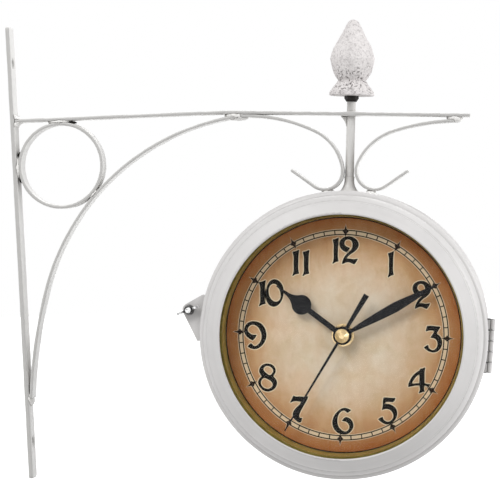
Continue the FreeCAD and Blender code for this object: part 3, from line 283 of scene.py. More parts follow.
def rough_paint():
    """Paint over a coarse casting, pitted round the waist and the foot, with painted shade in its hollows."""
    s = Shader("finial_paint")
    tone = s.blend(s.noise(mm(9), 4.0), srgb(228, 223, 222), srgb(248, 244, 243))
    up = s.part_of(s.here, "Z")
    seat = (TILTED @ Vector((0, 0, mm(FINIAL_SEAT)))).z
    pitted = s.ramp(
        s.span(up, seat, seat + mm(FINIAL_HEIGHT)),
        (0.0, (0.35,) * 3),
        (0.14, (1.0,) * 3),
        (0.30, (0.8,) * 3),
        (0.42, (0.22,) * 3),
        (1.0, (0.3,) * 3),
    )
    grain = s.noise(mm(0.8), 3.0, 0.65)
    pits = s.span(s.noise(mm(1.5), 4.0, 0.7), 0.55, 0.6)
    pits = s.maths("MULTIPLY", pits, pitted)
    tone = s.blend(s.span(grain, 0.52, 0.72, 0.0, 0.5), tone, srgb(168, 160, 160))
    tone = s.blend(s.maths("MULTIPLY", pits, 0.95, clamp=True), tone, srgb(84, 72, 70))
    # painted shade: darker where the surface is hemmed in by its neighbours
    open_air = s.openness(mm(3))
    corner_shade = s.maths("MULTIPLY", s.maths("SUBTRACT", 1.0, open_air), 0.8, clamp=True)
    tone = s.blend(corner_shade, tone, srgb(128, 120, 116))
    relief = s.bump(s.noise(mm(2.2), 4.0, 0.6), mm(0.9))
    relief = s.bump(grain, mm(0.5), relief)
    relief = s.bump(s.maths("SUBTRACT", 1.0, pits), mm(0.35), relief)
    s.principled(Base_Color=tone, Roughness=0.62, Normal=relief)
    return s.material


def aged_paper(name, lighter):
    """The dial: parchment cream in the middle, going to rust brown at its edge. A share
    of pale cream over it all makes it lighter."""
    s = Shader(name)
    spread = s.maths("MULTIPLY", s.maths("SUBTRACT", s.noise(mm(30), 3.0), 0.5), mm(9))
    reach = s.maths("ADD", s.from_axis(CENTRE), spread)
    tone = s.ramp(
        s.span(reach, 0.0, mm(80)),
        (0.00, srgb(228, 211, 188)),
        (0.36, srgb(241, 225, 205)),
        (0.50, srgb(236, 214, 190)),
        (0.61, srgb(227, 199, 168)),
        (0.72, srgb(214, 175, 136)),
        (0.84, srgb(192, 142, 98)),
        (0.93, srgb(176, 114, 68)),
        (1.00, srgb(150, 90, 52)),
    )
    blotch = s.span(s.noise(mm(13), 5.0, 0.62, twist=0.6), 0.32, 0.68)
    tone = s.blend(0.6, tone, s.blend(blotch, (0.84, 0.74, 0.60), (1.0, 1.0, 1.0)), "MULTIPLY")
    warm = s.span(s.noise(mm(24), 3.0, twist=0.4), 0.45, 0.7)
    tone = s.blend(s.maths("MULTIPLY", warm, 0.30), tone, (1.0, 0.80, 0.62), "MULTIPLY")
    drawn = s.add("Mapping", Vector=s.here)
    drawn.inputs["Scale"].default_value = (1, 1, 0.35)
    streaks = s.span(s.noise(mm(3.6), 5.0, 0.65, where=drawn.outputs[0], twist=0.3), 0.42, 0.7)
    edgeward = s.span(reach, mm(30), mm(72), 0.12, 0.55)
    tone = s.blend(s.maths("MULTIPLY", streaks, edgeward), tone, (0.80, 0.62, 0.50), "MULTIPLY")
    stain = s.span(s.noise(mm(19), 4.0, 0.6, twist=0.8), 0.5, 0.68, 0.0, 0.5)
    tone = s.blend(stain, tone, (0.86, 0.84, 0.70), "MULTIPLY")
    fine = s.span(s.noise(mm(1.6), 4.0, 0.7), 0.3, 0.7)
    tone = s.blend(0.5, tone, s.blend(fine, (0.86, 0.83, 0.78), (1.0, 1.0, 1.0)), "MULTIPLY")
    if lighter:
        tone = s.blend(lighter, tone, srgb(250, 236, 206))
    # the sheet's back, seen with the cover open, is plain
    deep = s.maths("ABSOLUTE", s.part_of(s.here, "Y"))
    printed = s.span(deep, DIAL_DEPTH - mm(0.3), DIAL_DEPTH - mm(0.1))
    back = s.blend(s.noise(mm(9), 4.0), srgb(196, 195, 190), srgb(212, 211, 207))
    tone = s.blend(printed, back, tone)
    relief = s.bump(s.noise(mm(0.5), 3.0), mm(0.01))
    s.principled(Base_Color=tone, Roughness=0.7, Specular_IOR_Level=0.12, Normal=relief)
    return s.material


def enamel(name, colour, rough, shine):
    s = Shader(name)
    tone = s.blend(s.noise(mm(3), 3.0), colour, tuple(c * 1.9 + 0.004 for c in colour))
    relief = s.bump(s.noise(mm(0.4), 2.0), mm(0.006))
    gloss = s.span(s.noise(mm(6), 2.0), 0.3, 0.7, rough - 0.06, rough + 0.08)
    s.principled(Base_Color=tone, Roughness=gloss, Specular_IOR_Level=shine, Normal=relief)
    return s.material


def metal(name, colour, dark, rough, streak, stain=0.5):
    """Worked metal: fine scratches along one way, cloudy stains, some dull spots."""
    s = Shader(name)
    stretched = s.add("Mapping", Vector=s.here)
    stretched.inputs["Scale"].default_value = streak
    lines = s.noise(mm(0.5), 3.0, 0.6, where=stretched.outputs[0])
    cloud = s.span(s.noise(mm(4), 4.0), 0.35, 0.75)
    tone = s.blend(s.maths("MULTIPLY", cloud, stain), colour, dark)
    gloss = s.span(lines, 0.25, 0.75, max(rough - 0.10, 0.04), rough + 0.14)
    relief = s.bump(lines, mm(0.01))
    s.principled(Base_Color=tone, Metallic=1.0, Roughness=gloss, Normal=relief)
    return s.material


def plated_screw():
    """Bright plating whose colour is a painted reflection of a dark room, in rings round the screw's axis."""
    s = Shader("bright_screw")
    away = s.from_axis(JOINTS["latch_screw_turn"]["pos_m"])
    wobble = s.maths("MULTIPLY", s.maths("SUBTRACT", s.noise(mm(2.5)), 0.5), mm(1.1))
    # painted reflection: bright and dark rings by distance from the screw's axis
    rings = s.ramp(
        s.span(s.maths("ADD", away, wobble), 0.0, mm(8)),
        (0.00, (0.85,) * 3),
        (0.19, (0.85,) * 3),
        (0.25, (0.02,) * 3),
        (0.36, (0.02,) * 3),
        (0.44, (0.50,) * 3),
        (0.62, (0.80,) * 3),
        (0.78, (0.25,) * 3),
        (0.92, (0.80,) * 3),
    )
    # dents, darkened in the colour as painted dark reflections
    dents_and_dark_reflections = s.span(s.noise(mm(1.3), 3.0, 0.6), 0.56, 0.66)
    tone = s.blend(s.maths("MULTIPLY", dents_and_dark_reflections, 0.8), rings, (0.02, 0.02, 0.02))
    gloss = s.span(s.noise(mm(0.8), 2.0), 0.3, 0.7, 0.12, 0.26)
    s.principled(Base_Color=tone, Metallic=1.0, Roughness=gloss, Normal=s.bump(dents_and_dark_reflections, mm(-0.05)))
    return s.material


def anodised(name, colour, dark):
    """Satin coloured finish on a spun ring: fine lines round it and cloudy stains."""
    s = Shader(name)
    stretched = s.add("Mapping", Vector=s.here)
    stretched.inputs["Scale"].default_value = (1, 9, 1)
    lines = s.noise(mm(1.2), 3.0, 0.6, where=stretched.outputs[0])
    cloud = s.span(s.noise(mm(8), 4.0), 0.35, 0.75)
    tone = s.blend(cloud, colour, dark)
    tone = s.blend(s.span(lines, 0.4, 0.7, 0.0, 0.4), tone, dark)
    gloss = s.span(lines, 0.3, 0.7, 0.3, 0.45)
    s.principled(Base_Color=tone, Metallic=0.35, Roughness=gloss, Normal=s.bump(lines, mm(0.02)))
    return s.material


def plastic(name, colour, rough):
    """Moulded plastic with a fine spark-eroded grain."""
    s = Shader(name)
    tone = s.blend(s.noise(mm(5), 3.0), colour, tuple(c * 1.5 for c in colour))
    relief = s.bump(s.noise(mm(0.35), 2.0, 0.7), mm(0.03))
    gloss = s.span(s.noise(mm(1.2), 2.0), 0.3, 0.7, rough - 0.08, rough + 0.08)
    s.principled(Base_Color=tone, Roughness=gloss, Normal=relief)
    return s.material


def sleeve():
    """The battery's plain sleeve: dark grey with a pale band and bare ends."""
    s = Shader("battery")
    along = s.part_of(s.vector("SUBTRACT", s.here, CENTRE), "X")
    grey, pale, bare = srgb(70, 74, 80), srgb(190, 192, 190), srgb(160, 160, 158)
    tone = s.ramp(
        s.span(along, mm(-27), mm(27)),
        (0.0, bare),
        (0.07, grey),
        (0.62, pale),
        (0.70, grey),
        (0.93, bare),
    )
    tone.node.color_ramp.interpolation = "CONSTANT"
    worn = s.blend(s.maths("MULTIPLY", s.noise(mm(2), 4.0), 0.25), tone, srgb(40, 40, 40))
    s.principled(Base_Color=worn, Roughness=0.32, Metallic=0.25)
    return s.material


KNUCKLE = 6.8  # length in millimetres of each of the hinge's five knuckles


def hinge_paint():
    """Case paint with the joints between the knuckles left dark."""
    s = Shader("hinge_paint", MATERIALS["case_paint"])
    painted = s.find("BsdfPrincipled").inputs["Base Color"]
    pin = JOINTS["cover_hinge"]
    along = s.vector("DOT_PRODUCT", s.vector("SUBTRACT", s.here, pin["pos_m"]), pin["axis"])
    wander = s.maths("MULTIPLY", s.maths("SUBTRACT", s.noise(mm(1.5)), 0.5), mm(0.7))
    height = s.maths("ADD", along, wander)
    joints = s.maths("PINGPONG", s.maths("ADD", height, mm(KNUCKLE / 2)), mm(KNUCKLE / 2))
    gap = s.span(joints, mm(0.28), mm(0.5), 1.0, 0.0)
    s.feed(painted, s.blend(gap, painted.links[0].from_socket, srgb(22, 20, 19)))
    return s.material


def clear_glass():
    """Clear flat glass that lets light through to the dial without bending shadows."""
    s = Shader("glass")
    smear = s.span(s.noise(mm(22), 3.0), 0.4, 0.8, 0.0, 0.03)
    body = s.add("BsdfPrincipled", Base_Color=(1, 1, 1, 1), Roughness=smear, IOR=1.12)
    body.inputs["Transmission Weight"].default_value = 1.0
    through = s.add("BsdfTransparent", Color=(0.98, 0.99, 0.985, 1))
    rays = s.add("LightPath")
    passing = s.maths(
        "MAXIMUM", rays.outputs["Is Shadow Ray"], rays.outputs["Is Diffuse Ray"]
    )
    mixed = s.add("MixShader", Fac=passing)
    s.tree.links.new(body.outputs[0], mixed.inputs[1])
    s.tree.links.new(through.outputs[0], mixed.inputs[2])
    s.tree.links.new(mixed.outputs[0], s.output.inputs[0])
    return s.material


MATERIALS = {
    "bracket_paint": paint(
        "bracket_paint",
        colour=srgb(220, 219, 217),
        shade=srgb(208, 206, 203),
        grime_and_shade=srgb(120, 114, 106),
        rough=0.42,
        peel=mm(0.012),
        lump_size=mm(5),
        lump=mm(0.25),
    ),
    "case_paint": paint(
        "case_paint",
        colour=srgb(225, 223, 222),
        shade=srgb(205, 203, 202),
        grime_and_shade=srgb(132, 130, 126),
        rough=0.40,
        peel=mm(0.008),
        lump_size=mm(16),
        lump=mm(0.12),
    ),
    "finial_paint": rough_paint(),
    "dark_steel": metal("dark_steel", (0.035, 0.033, 0.031), (0.012, 0.010, 0.009), 0.5, (1, 1, 1)),
    "zinc_steel": metal("zinc_steel", (0.62, 0.62, 0.60), (0.32, 0.32, 0.31), 0.34, (1, 1, 8)),
    "bright_screw": plated_screw(),
    "glass": clear_glass(),
    "olive_brass": anodised("olive_brass", srgb(180, 162, 86), srgb(132, 116, 54)),
    "dial_face": aged_paper("dial_face", 0.0),
    "black_plastic": plastic("black_plastic", (0.016, 0.016, 0.017), 0.5),
    "knob_plastic": plastic("knob_plastic", (0.03, 0.03, 0.031), 0.42),
    "battery": sleeve(),
    "brass": metal("brass", (0.83, 0.64, 0.36), (0.52, 0.36, 0.16), 0.26, (1, 12, 1), 0.6),
    "hand_black": enamel("hand_black", (0.004, 0.004, 0.005), 0.30, 0.16),
}
WELD_PAINT = paint(
    "weld_paint",
    colour=srgb(246, 245, 243),
    shade=srgb(236, 234, 231),
    grime_and_shade=srgb(120, 114, 106),
    rough=0.36,
    peel=mm(0.01),
    lump_size=mm(1.6),
    lump=mm(0.1),
    corner_shade_share=0.45,
)
HINGE_PAINT = hinge_paint()
# the strips' broad faces are paler than their edges, which face the way the dials do: painted shade on the edges
STRIP_PAINT = paint(
    "strip_paint",
    colour=srgb(243, 242, 240),
    shade=srgb(234, 233, 231),
    grime_and_shade=srgb(120, 114, 106),
    rough=0.42,
    peel=mm(0.012),
    lump_size=mm(5),
    lump=mm(0.25),
    corner_shade_share=0.8,
    edge=srgb(186, 185, 183),
)
HALO = aged_paper("dial_halo", 0.6)
INK = enamel("dial_ink", (0.007, 0.006, 0.005), 0.6, 0.08)
LINE_INK = enamel("dial_line_ink", (0.016, 0.009, 0.006), 0.6, 0.08)

for part in frame["record"]["subparts"]:
    node = NODES[part["node"]]
    node.data.materials.clear()
    node.data.materials.append(MATERIALS[part["material_slot"]])
SLOT = {part["node"]: part["material_slot"] for part in frame["record"]["subparts"]}
BODY = {
    name: body
    for body, members in frame["record"]["behaviour"]["bodies"].items()
    for name in members
}


# ------------------------------------------------------------------ softened edges


def remeshed(node_name, voxel, passes, waves, material=None, level=0.5):
    """An even, rounded-edge mesh of a node's shape, its faces moved in and out by waves,
    each a size and a height. Where the waves' grey is at level, nothing moves."""
    piece = add_object(node_name + "_soft", NODES[node_name].data.copy())
    remesh = piece.modifiers.new("even", "REMESH")
    remesh.mode = "VOXEL"
    remesh.voxel_size = voxel
    remesh.use_smooth_shade = True
    smooth = piece.modifiers.new("round", "SMOOTH")
    smooth.iterations = passes
    smooth.factor = 0.5
    for number, (size, height) in enumerate(waves):
        clouds = bpy.data.textures.new(f"{node_name}_{number}", "CLOUDS")
        clouds.noise_scale = size
        clouds.noise_depth = 1
        wave = piece.modifiers.new(f"wave_{number}", "DISPLACE")
        wave.texture = clouds
        wave.texture_coords = "LOCAL"
        wave.mid_level = level
        wave.strength = height
    graph = bpy.context.evaluated_depsgraph_get()
    data = bpy.data.meshes.new_from_object(piece.evaluated_get(graph))
    piece.modifiers.clear()
    piece.data = data
    data.materials.clear()
    data.materials.append(material or MATERIALS[SLOT[node_name]])
    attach(piece, BODY[node_name])
    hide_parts(node_name)


# flat iron as it leaves the fire: edges rounded, faces wandering a little under the paint
for strip in ("wall_bar", "arm", "bracket_ring", "arch_brace", "scroll_left", "scroll_right"):
    remeshed(strip, mm(0.8), 2, [(mm(17), mm(0.30)), (mm(5), mm(0.16))], STRIP_PAINT)
remeshed("arm_gusset", mm(0.4), 2, [(mm(5), mm(0.15))])
# the weld beads as run metal: rounded, ridged lumps
remeshed("bracket_welds", mm(0.4), 4, [(mm(2.4), mm(1.0)), (mm(1.0), mm(0.3))], WELD_PAINT, 0.32)

for leaf in ("case_hinge_leaf", "cover_hinge_leaf"):
    NODES[leaf].data.materials[0] = HINGE_PAINT

for small, edge in (
    ("case_lug", 0.25),
    ("cover_lug", 0.25),
    ("case_hinge_leaf", 0.2),
    ("cover_hinge_leaf", 0.2),
    ("latch_wing_screw", 0.25),
    ("finial_nut", 0.2),
    ("post_nut", 0.2),
    ("front_setting_knob", 0.2),
    ("rear_setting_knob", 0.2),
):
    rounding = NODES[small].modifiers.new("rounding", "BEVEL")
    rounding.width = mm(edge)
    rounding.segments = 2
    rounding.limit_method = "ANGLE"
    rounding.angle_limit = math.radians(40)
    rounding.harden_normals = True


# painted shadow: small dark lumps in the narrow gaps where the ring meets the arm and the wall bar
ring_low, ring_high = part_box("bracket_ring")
ring_middle = (ring_low + ring_high) / 2
ring_reach = (ring_high.z - ring_low.z) / 2


SHADOW_LUMP_HALF_WIDTH = mm(4.6)  # front to back


def shadow_lump(number, place, along, long, thick):
    """A small rough dark lump lying along a gap, as painted shadow."""
    mesh = bmesh.new()
    bmesh.ops.create_icosphere(mesh, subdivisions=4, radius=1.0)
    turn = Vector(along).to_track_quat("X", "Y").to_matrix()
    for vertex in mesh.verts:
        swell = 1.0 + 0.35 * noise.noise(vertex.co * 2.3 + Vector((number * 3.1, 0, 0)))
        body = vertex.co * Vector((long, thick, SHADOW_LUMP_HALF_WIDTH)) * swell
        vertex.co = Vector(place) + turn @ body
    for face in mesh.faces:
        face.smooth = True
    data = to_data(f"gap_shadow_{number}", mesh)
    data.materials.append(MATERIALS["dark_steel"])
    piece = add_object(f"gap_shadow_{number}", data)
    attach(piece, "bracket")


def beside_ring(angle, out):
    """A spot out beyond the ring's surface, at an angle anticlockwise from +X."""
    way = Vector((math.cos(angle), 0, math.sin(angle)))
    return ring_middle + way * (ring_reach + out)


shadow_lump(1, beside_ring(math.radians(73.5), mm(0.7)), (1, 0, -0.12), mm(2.6), mm(0.85))
shadow_lump(2, beside_ring(math.radians(163.5), mm(0.7)), (0.1, 0, 1), mm(2.2), mm(0.8))
shadow_lump(3, beside_ring(math.radians(196.5), mm(0.7)), (-0.1, 0, 1), mm(1.7), mm(0.6))


SPACER_TAPER = mm(0.8)
SPACER_TOE = mm(0.5)  # the straight lowest part of the spacer's inner wall
SPACER_STEPS = 192


def spacer_reach(side):
    """The spacer ring's inner and outer radius, and its height at the dial and the glass."""
    back = FACES[side].inverted()
    points = [back @ vertex.co for vertex in NODES[side + "_spacer_ring"].data.vertices]
    reach = [math.hypot(point.x, point.y) for point in points]
    return min(reach), max(reach), min(p.z for p in points), max(p.z for p in points)


def tapered_spacer(side):
    """The olive ring between the dial and the glass, its inner wall a shallow cone."""
    node = side + "_spacer_ring"
    inner, outer, low, high = spacer_reach(side)
    foot = inner - SPACER_TAPER
    toe = low + SPACER_TOE
    profile = [(outer, low), (foot, low), (foot, toe)]
    for k in range(1, 10):
        part = k / 10
        profile.append((foot + (inner - foot) * part, toe + (high - low - SPACER_TOE) * part))
    profile += [(inner, high), (outer, high)]
    mesh = bmesh.new()
    rings = [circle(mesh, radius, height, SPACER_STEPS) for radius, height in profile]
    for first, second in zip(rings, rings[1:] + rings[:1]):
        join_rows(mesh, first, second)
    for face in mesh.faces:
        face.smooth = True
    bmesh.ops.recalc_face_normals(mesh, faces=mesh.faces)
    for edge in mesh.edges:
        if len(edge.link_faces) == 2 and edge.calc_face_angle() > math.radians(35):
            edge.smooth = False
    data = to_data(side + "_spacer_cone", mesh)
    data.transform(FACES[side])
    data.materials.append(MATERIALS["olive_brass"])
    piece = add_object(side + "_spacer_cone", data)
    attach(piece, FACE_BODY[side])
    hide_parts(node)


for face in ("front", "rear"):
    tapered_spacer(face)


def rough_finial():
    """The bud finial as a coarse casting: turned profile with a wandering surface. Its
    profile is in millimetres, each point a radius and a height above the seat."""
    profile = []

    def arc(start, way, end, steps):
        """Points on the circle from start through way, up to but not at end."""
        ax, ay = start
        bx, by = way
        cx, cy = end
        d = 2 * (ax * (by - cy) + bx * (cy - ay) + cx * (ay - by))
        ux = (
            (ax**2 + ay**2) * (by - cy) + (bx**2 + by**2) * (cy - ay) + (cx**2 + cy**2) * (ay - by)
        ) / d
        uy = (
            (ax**2 + ay**2) * (cx - bx) + (bx**2 + by**2) * (ax - cx) + (cx**2 + cy**2) * (bx - ax)
        ) / d
        radius = math.hypot(ax - ux, ay - uy)
        first = math.atan2(ay - uy, ax - ux)
        middle = (math.atan2(by - uy, bx - ux) - first + math.pi) % (2 * math.pi) - math.pi
        last = (math.atan2(cy - uy, cx - ux) - first + math.pi) % (2 * math.pi) - math.pi
        if middle * last < 0:
            last += 2 * math.pi if last < 0 else -2 * math.pi
        for k in range(steps):
            angle = first + last * k / steps
            profile.append((ux + radius * math.cos(angle), uy + radius * math.sin(angle)))

    def line(start, end, steps):
        for k in range(steps):
            t = k / steps
            profile.append((start[0] + (end[0] - start[0]) * t, start[1] + (end[1] - start[1]) * t))

    line((2.9, 0.15), (13.6, 0.15), 12)
    arc((13.6, 0.15), (14.3, 0.5), (14.35, 1.2), 4)
    line((14.35, 1.2), (14.3, 2.3), 4)
    arc((14.3, 2.3), (12.1, 5.4), (8.9, 9.8), 18)
    arc((8.9, 9.8), (12.7, 16.9), (14.25, 23.5), 30)
    arc((14.25, 23.5), (12.4, 30.1), (9.5, 35.7), 24)
    line((9.5, 35.7), (4.2, 45.7), 20)
    arc((4.2, 45.7), (2.3, 48.0), (0.0, 48.7), 9)
    around = 120
    mesh = bmesh.new()
    rings = []
    for radius, height in profile:
        row = []
        # the machined seat stays true, the rest wanders
        worn = min(1.0, height / 2.0)
        for k in range(around):
            a = 2 * math.pi * k / around
            point = Vector((radius * math.cos(a), radius * math.sin(a), height))
            swell = noise.noise(point / 6.0) * 0.30 + noise.noise(point / 2.1) * 0.16
            swell += noise.noise(point / 0.9) * 0.07
            scale = 1.0 + (swell - 0.12) * worn / max(radius, 3.0)
            row.append(mesh.verts.new((point.x * scale, point.y * scale, point.z)))
        rings.append(row)
    tip = mesh.verts.new((0, 0, 48.72))
    for low, up in zip(rings, rings[1:]):
        join_rows(mesh, low, up)
    for k in range(around):
        mesh.faces.new((rings[-1][k], rings[-1][(k + 1) % around], tip))
    for face in mesh.faces:
        face.smooth = True
    data = to_data("finial_casting", mesh)
    data.transform(TILTED @ Matrix.Translation((0, 0, mm(FINIAL_SEAT))) @ Matrix.Scale(0.001, 4))
    data.materials.append(MATERIALS["finial_paint"])
    piece = add_object("finial_casting", data)
    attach(piece, "bracket")
    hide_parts("finial")


rough_finial()


# ------------------------------------------------------------------ the dial's printing

# Each numeral is a list of closed outlines in millimetres, drawn clockwise. A third entry
# marks a corner; other points are smooth.
ONE = [
    [
        (1.64, 8.15, 1),
        (1.28, 5.25),
        (1.25, 0.5),
        (1.32, -3.9),
        (1.85, -6.5, 1),
        (0.0, -6.95),
        (-1.95, -8.15, 1),
        (-1.25, -5.9),
        (-1.3, 0.0),
        (-1.33, 3.6),
        (-2.15, 6.8, 1),
        (-0.3, 7.25),
    ]
]
TWO = [
    [
        (-4.04, -8.54, 1),
        (-3.4, -6.2),
        (-1.97, -3.4),
        (0.35, -1.0),
        (1.96, 0.95),
        (2.4, 3.4),
        (1.96, 5.57),
        (0.7, 6.85),
        (-0.9, 7.07),
        (-2.33, 6.46),
        (-3.15, 4.86),
        (-2.97, 3.43),
        (-1.6, 2.15),
        (0.35, 1.4, 1),
        (-0.7, -0.15),
        (-1.6, -1.04, 1),
        (-3.76, 0.04),
        (-5.26, 1.8),
        (-5.83, 3.8),
        (-5.36, 5.93),
        (-3.76, 7.54),
        (-1.26, 8.5),
        (0.9, 8.5),
        (3.4, 7.5),
        (5.2, 5.75),
        (5.8, 3.8),
        (5.24, 1.64),
        (3.4, -0.5),
        (0.9, -2.3),
        (-1.26, -4.4),
        (-2.6, -6.2, 1),
        (-0.9, -5.57),
        (0.9, -5.43),
        (2.67, -5.75),
        (5.53, -5.3, 1),
        (4.64, -6.93),
        (3.56, -8.5, 1),
        (2.3, -8.0),
        (0.53, -7.36),
        (-1.61, -7.46),
        (-3.04, -8.18),
    ]
]
THREE = [
    [
        (-1.7, 7.3, 1),
        (0.8, 7.5),
        (3.6, 7.25),
        (6.3, 7.1, 1),
        (5.0, 4.9),
        (3.7, 2.7, 1),
        (5.4, 1.9),
        (6.95, 0.0),
        (7.6, -2.6),
        (7.1, -5.25),
        (5.8, -7.35),
        (3.8, -8.5),
        (1.7, -8.7),
        (-0.8, -7.9),
        (-3.25, -6.1, 1),
        (-2.1, -5.25),
        (-1.0, -4.55, 1),
        (-0.65, -6.0),
        (0.4, -7.2),
        (2.2, -7.75),
        (4.0, -6.8),
        (5.05, -4.9),
        (5.1, -2.6),
        (4.2, -0.8),
        (2.6, 0.1),
        (0.65, 0.36, 1),
        (2.0, 2.3),
        (3.4, 4.65, 1),
        (1.1, 5.0),
        (-1.0, 4.8),
        (-2.4, 4.25, 1),
        (-2.05, 5.7),
    ]
]
FOUR = [
    [
        (4.9, 8.55, 1),
        (4.5, 6.36),
        (4.55, 2.0),
        (4.57, -1.2, 1),
        (5.8, -1.7),
        (8.3, -1.9, 1),
        (7.3, -3.5, 1),
        (5.9, -2.7),
        (4.57, -2.4, 1),
        (4.45, -5.07),
        (4.85, -6.4, 1),
        (3.3, -6.75),
        (1.5, -7.6, 1),
        (2.1, -6.1),
        (2.0, -2.6, 1),
        (0.07, -2.6),
        (-2.4, -3.05),
        (-5.1, -3.75, 1),
        (-5.05, -2.65),
        (-4.6, -0.9),
        (-3.35, 1.7),
        (-1.7, 3.95),
        (0.25, 5.6),
        (1.7, 6.6, 1),
        (2.0, 7.65, 1),
        (3.3, 7.8),
    ],
    [
        (1.8, 4.95, 1),
        (1.8, 1.5),
        (1.8, -1.55, 1),
        (-0.3, -1.65),
        (-2.4, -2.0),
        (-4.0, -2.5, 1),
        (-3.2, -1.1),
        (-2.0, 1.05),
        (-0.25, 3.35),
    ],
]
FIVE = [
    [
        (-0.46, 8.6, 1),
        (1.1, 8.7),
        (4.0, 8.55),
        (6.6, 8.65, 1),
        (6.0, 7.1),
        (5.0, 6.3, 1),
        (2.9, 6.45),
        (1.14, 6.2),
        (-0.1, 5.3),
        (-0.25, 4.2, 1),
        (1.14, 4.6),
        (3.64, 4.4),
        (5.8, 3.3),
        (7.4, 1.5),
        (7.95, -0.8),
        (7.57, -3.1),
        (6.3, -5.4),
        (4.36, -7.1),
        (2.04, -7.8),
        (-0.3, -7.2),
        (-2.07, -6.1),
        (-3.45, -5.0, 1),
        (-2.07, -4.1),
        (-1.0, -3.55, 1),
        (-0.5, -5.0),
        (0.8, -6.1),
        (2.57, -6.55),
        (4.36, -5.8),
        (5.6, -4.36),
        (6.07, -2.57),
        (5.4, -0.43),
        (4.0, 1.2),
        (2.04, 1.85),
        (0.07, 1.7),
        (-1.35, 1.15, 1),
        (-0.85, 3.14),
        (-0.8, 6.4),
    ]
]
SIX = [
    [
        (6.2, 7.4, 1),
        (4.7, 7.96),
        (2.57, 8.5),
        (0.43, 7.96),
        (-1.7, 6.36),
        (-3.5, 4.2),
        (-4.64, 1.7),
        (-5.0, -0.8),
        (-4.4, -3.64),
        (-2.8, -5.96),
        (-0.3, -7.5),
        (2.2, -7.95),
        (4.7, -7.3),
        (6.7, -5.4),
        (7.86, -2.9),
        (7.57, -0.6),
        (6.3, 1.36),
        (4.7, 2.4),
        (3.35, 2.75, 1),
        (2.04, 1.9),
        (1.1, 0.55, 1),
        (2.75, 0.4),
        (4.2, -0.25),
        (5.25, -1.5),
        (5.8, -3.3),
        (5.25, -5.07),
        (4.0, -6.2),
        (2.4, -6.35),
        (0.43, -5.4),
        (-1.2, -3.64),
        (-2.14, -1.14),
        (-2.25, 1.7),
        (-1.5, 4.57),
        (0.07, 6.5),
        (1.5, 7.14),
        (2.75, 7.0),
        (3.46, 6.3),
        (4.36, 5.9, 1),
        (5.4, 6.85),
    ]
]
SEVEN = [
    [
        (-2.96, 7.75, 1),
        (-1.7, 7.2),
        (0.8, 7.36),
        (3.64, 7.3),
        (6.2, 7.7, 1),
        (5.07, 4.93),
        (3.46, 2.07),
        (2.04, -0.8),
        (0.96, -3.3),
        (0.6, -5.36, 1),
        (1.5, -6.1),
        (2.8, -6.2, 1),
        (2.04, -8.5, 1),
        (0.6, -8.6),
        (-0.8, -7.57),
        (-2.36, -6.14),
        (-2.96, -4.0),
        (-2.5, -2.04),
        (-1.0, 0.1),
        (1.14, 2.25),
        (3.25, 4.4, 1),
        (0.8, 4.57),
        (-1.36, 4.7),
        (-3.0, 4.5),
        (-4.8, 3.65, 1),
        (-4.0, 5.3),
    ]
]
EIGHT = [
    [
        (0.07, 7.5),
        (2.2, 7.14),
        (4.0, 5.8),
        (5.0, 3.5),
        (4.5, 1.54),
        (3.15, -0.25, 1),
        (4.7, -1.5),
        (5.96, -3.64),
        (5.8, -5.8),
        (4.36, -8.1),
        (2.2, -9.4),
        (0.07, -9.75),
        (-2.07, -9.2),
        (-4.0, -7.57),
        (-5.35, -5.4),
        (-5.35, -3.3),
        (-4.2, -1.5),
        (-3.05, -0.6, 1),
        (-4.4, 1.0),
        (-5.05, 2.96),
        (-4.57, 4.93),
        (-3.3, 6.36),
        (-1.7, 7.25),
    ],
    [
        (0.07, 6.4),
        (1.6, 6.05),
        (3.1, 4.93),
        (3.85, 3.3),
        (3.35, 1.75),
        (2.2, 0.5),
        (1.1, 0.3),
        (-0.64, 1.36),
        (-2.25, 2.8),
        (-2.75, 4.2),
        (-2.1, 5.6),
        (-1.2, 6.2),
    ],
    [
        (-1.9, -1.3),
        (0.43, -2.04),
        (2.57, -3.3),
        (3.75, -5.07),
        (3.35, -6.86),
        (1.9, -8.1),
        (0.07, -8.5),
        (-1.95, -7.9),
        (-3.55, -6.5),
        (-4.2, -4.9),
        (-3.9, -3.1),
        (-3.0, -1.8),
    ],
]
NINE = [
    [
        (-1.7, 6.7),
        (0.43, 6.36),
        (2.57, 5.3),
        (4.36, 3.3),
        (5.5, 0.64),
        (5.86, -1.86),
        (5.4, -4.36),
        (4.2, -6.86),
        (2.57, -8.7),
        (0.43, -10.07),
        (-1.7, -10.45),
        (-3.86, -9.95),
        (-5.5, -9.15, 1),
        (-4.57, -8.1),
        (-3.65, -7.25, 1),
        (-2.96, -7.8),
        (-2.07, -8.64),
        (-0.64, -8.85),
        (1.14, -7.75),
        (2.57, -5.8),
        (3.2, -3.3),
        (3.0, -0.8),
        (2.04, 1.5),
        (0.43, 3.7),
        (-1.36, 4.75),
        (-3.14, 4.98),
        (-4.93, 4.08),
        (-6.07, 2.4),
        (-6.0, 0.64),
        (-4.57, -0.96),
        (-2.8, -1.75),
        (-0.4, -1.8, 1),
        (-1.36, -3.46),
        (-2.6, -4.95, 1),
        (-4.57, -4.0),
        (-6.5, -2.4),
        (-7.7, -0.25),
        (-7.9, 2.07),
        (-7.07, 4.2),
        (-5.46, 5.8),
        (-3.5, 6.6),
    ]
]
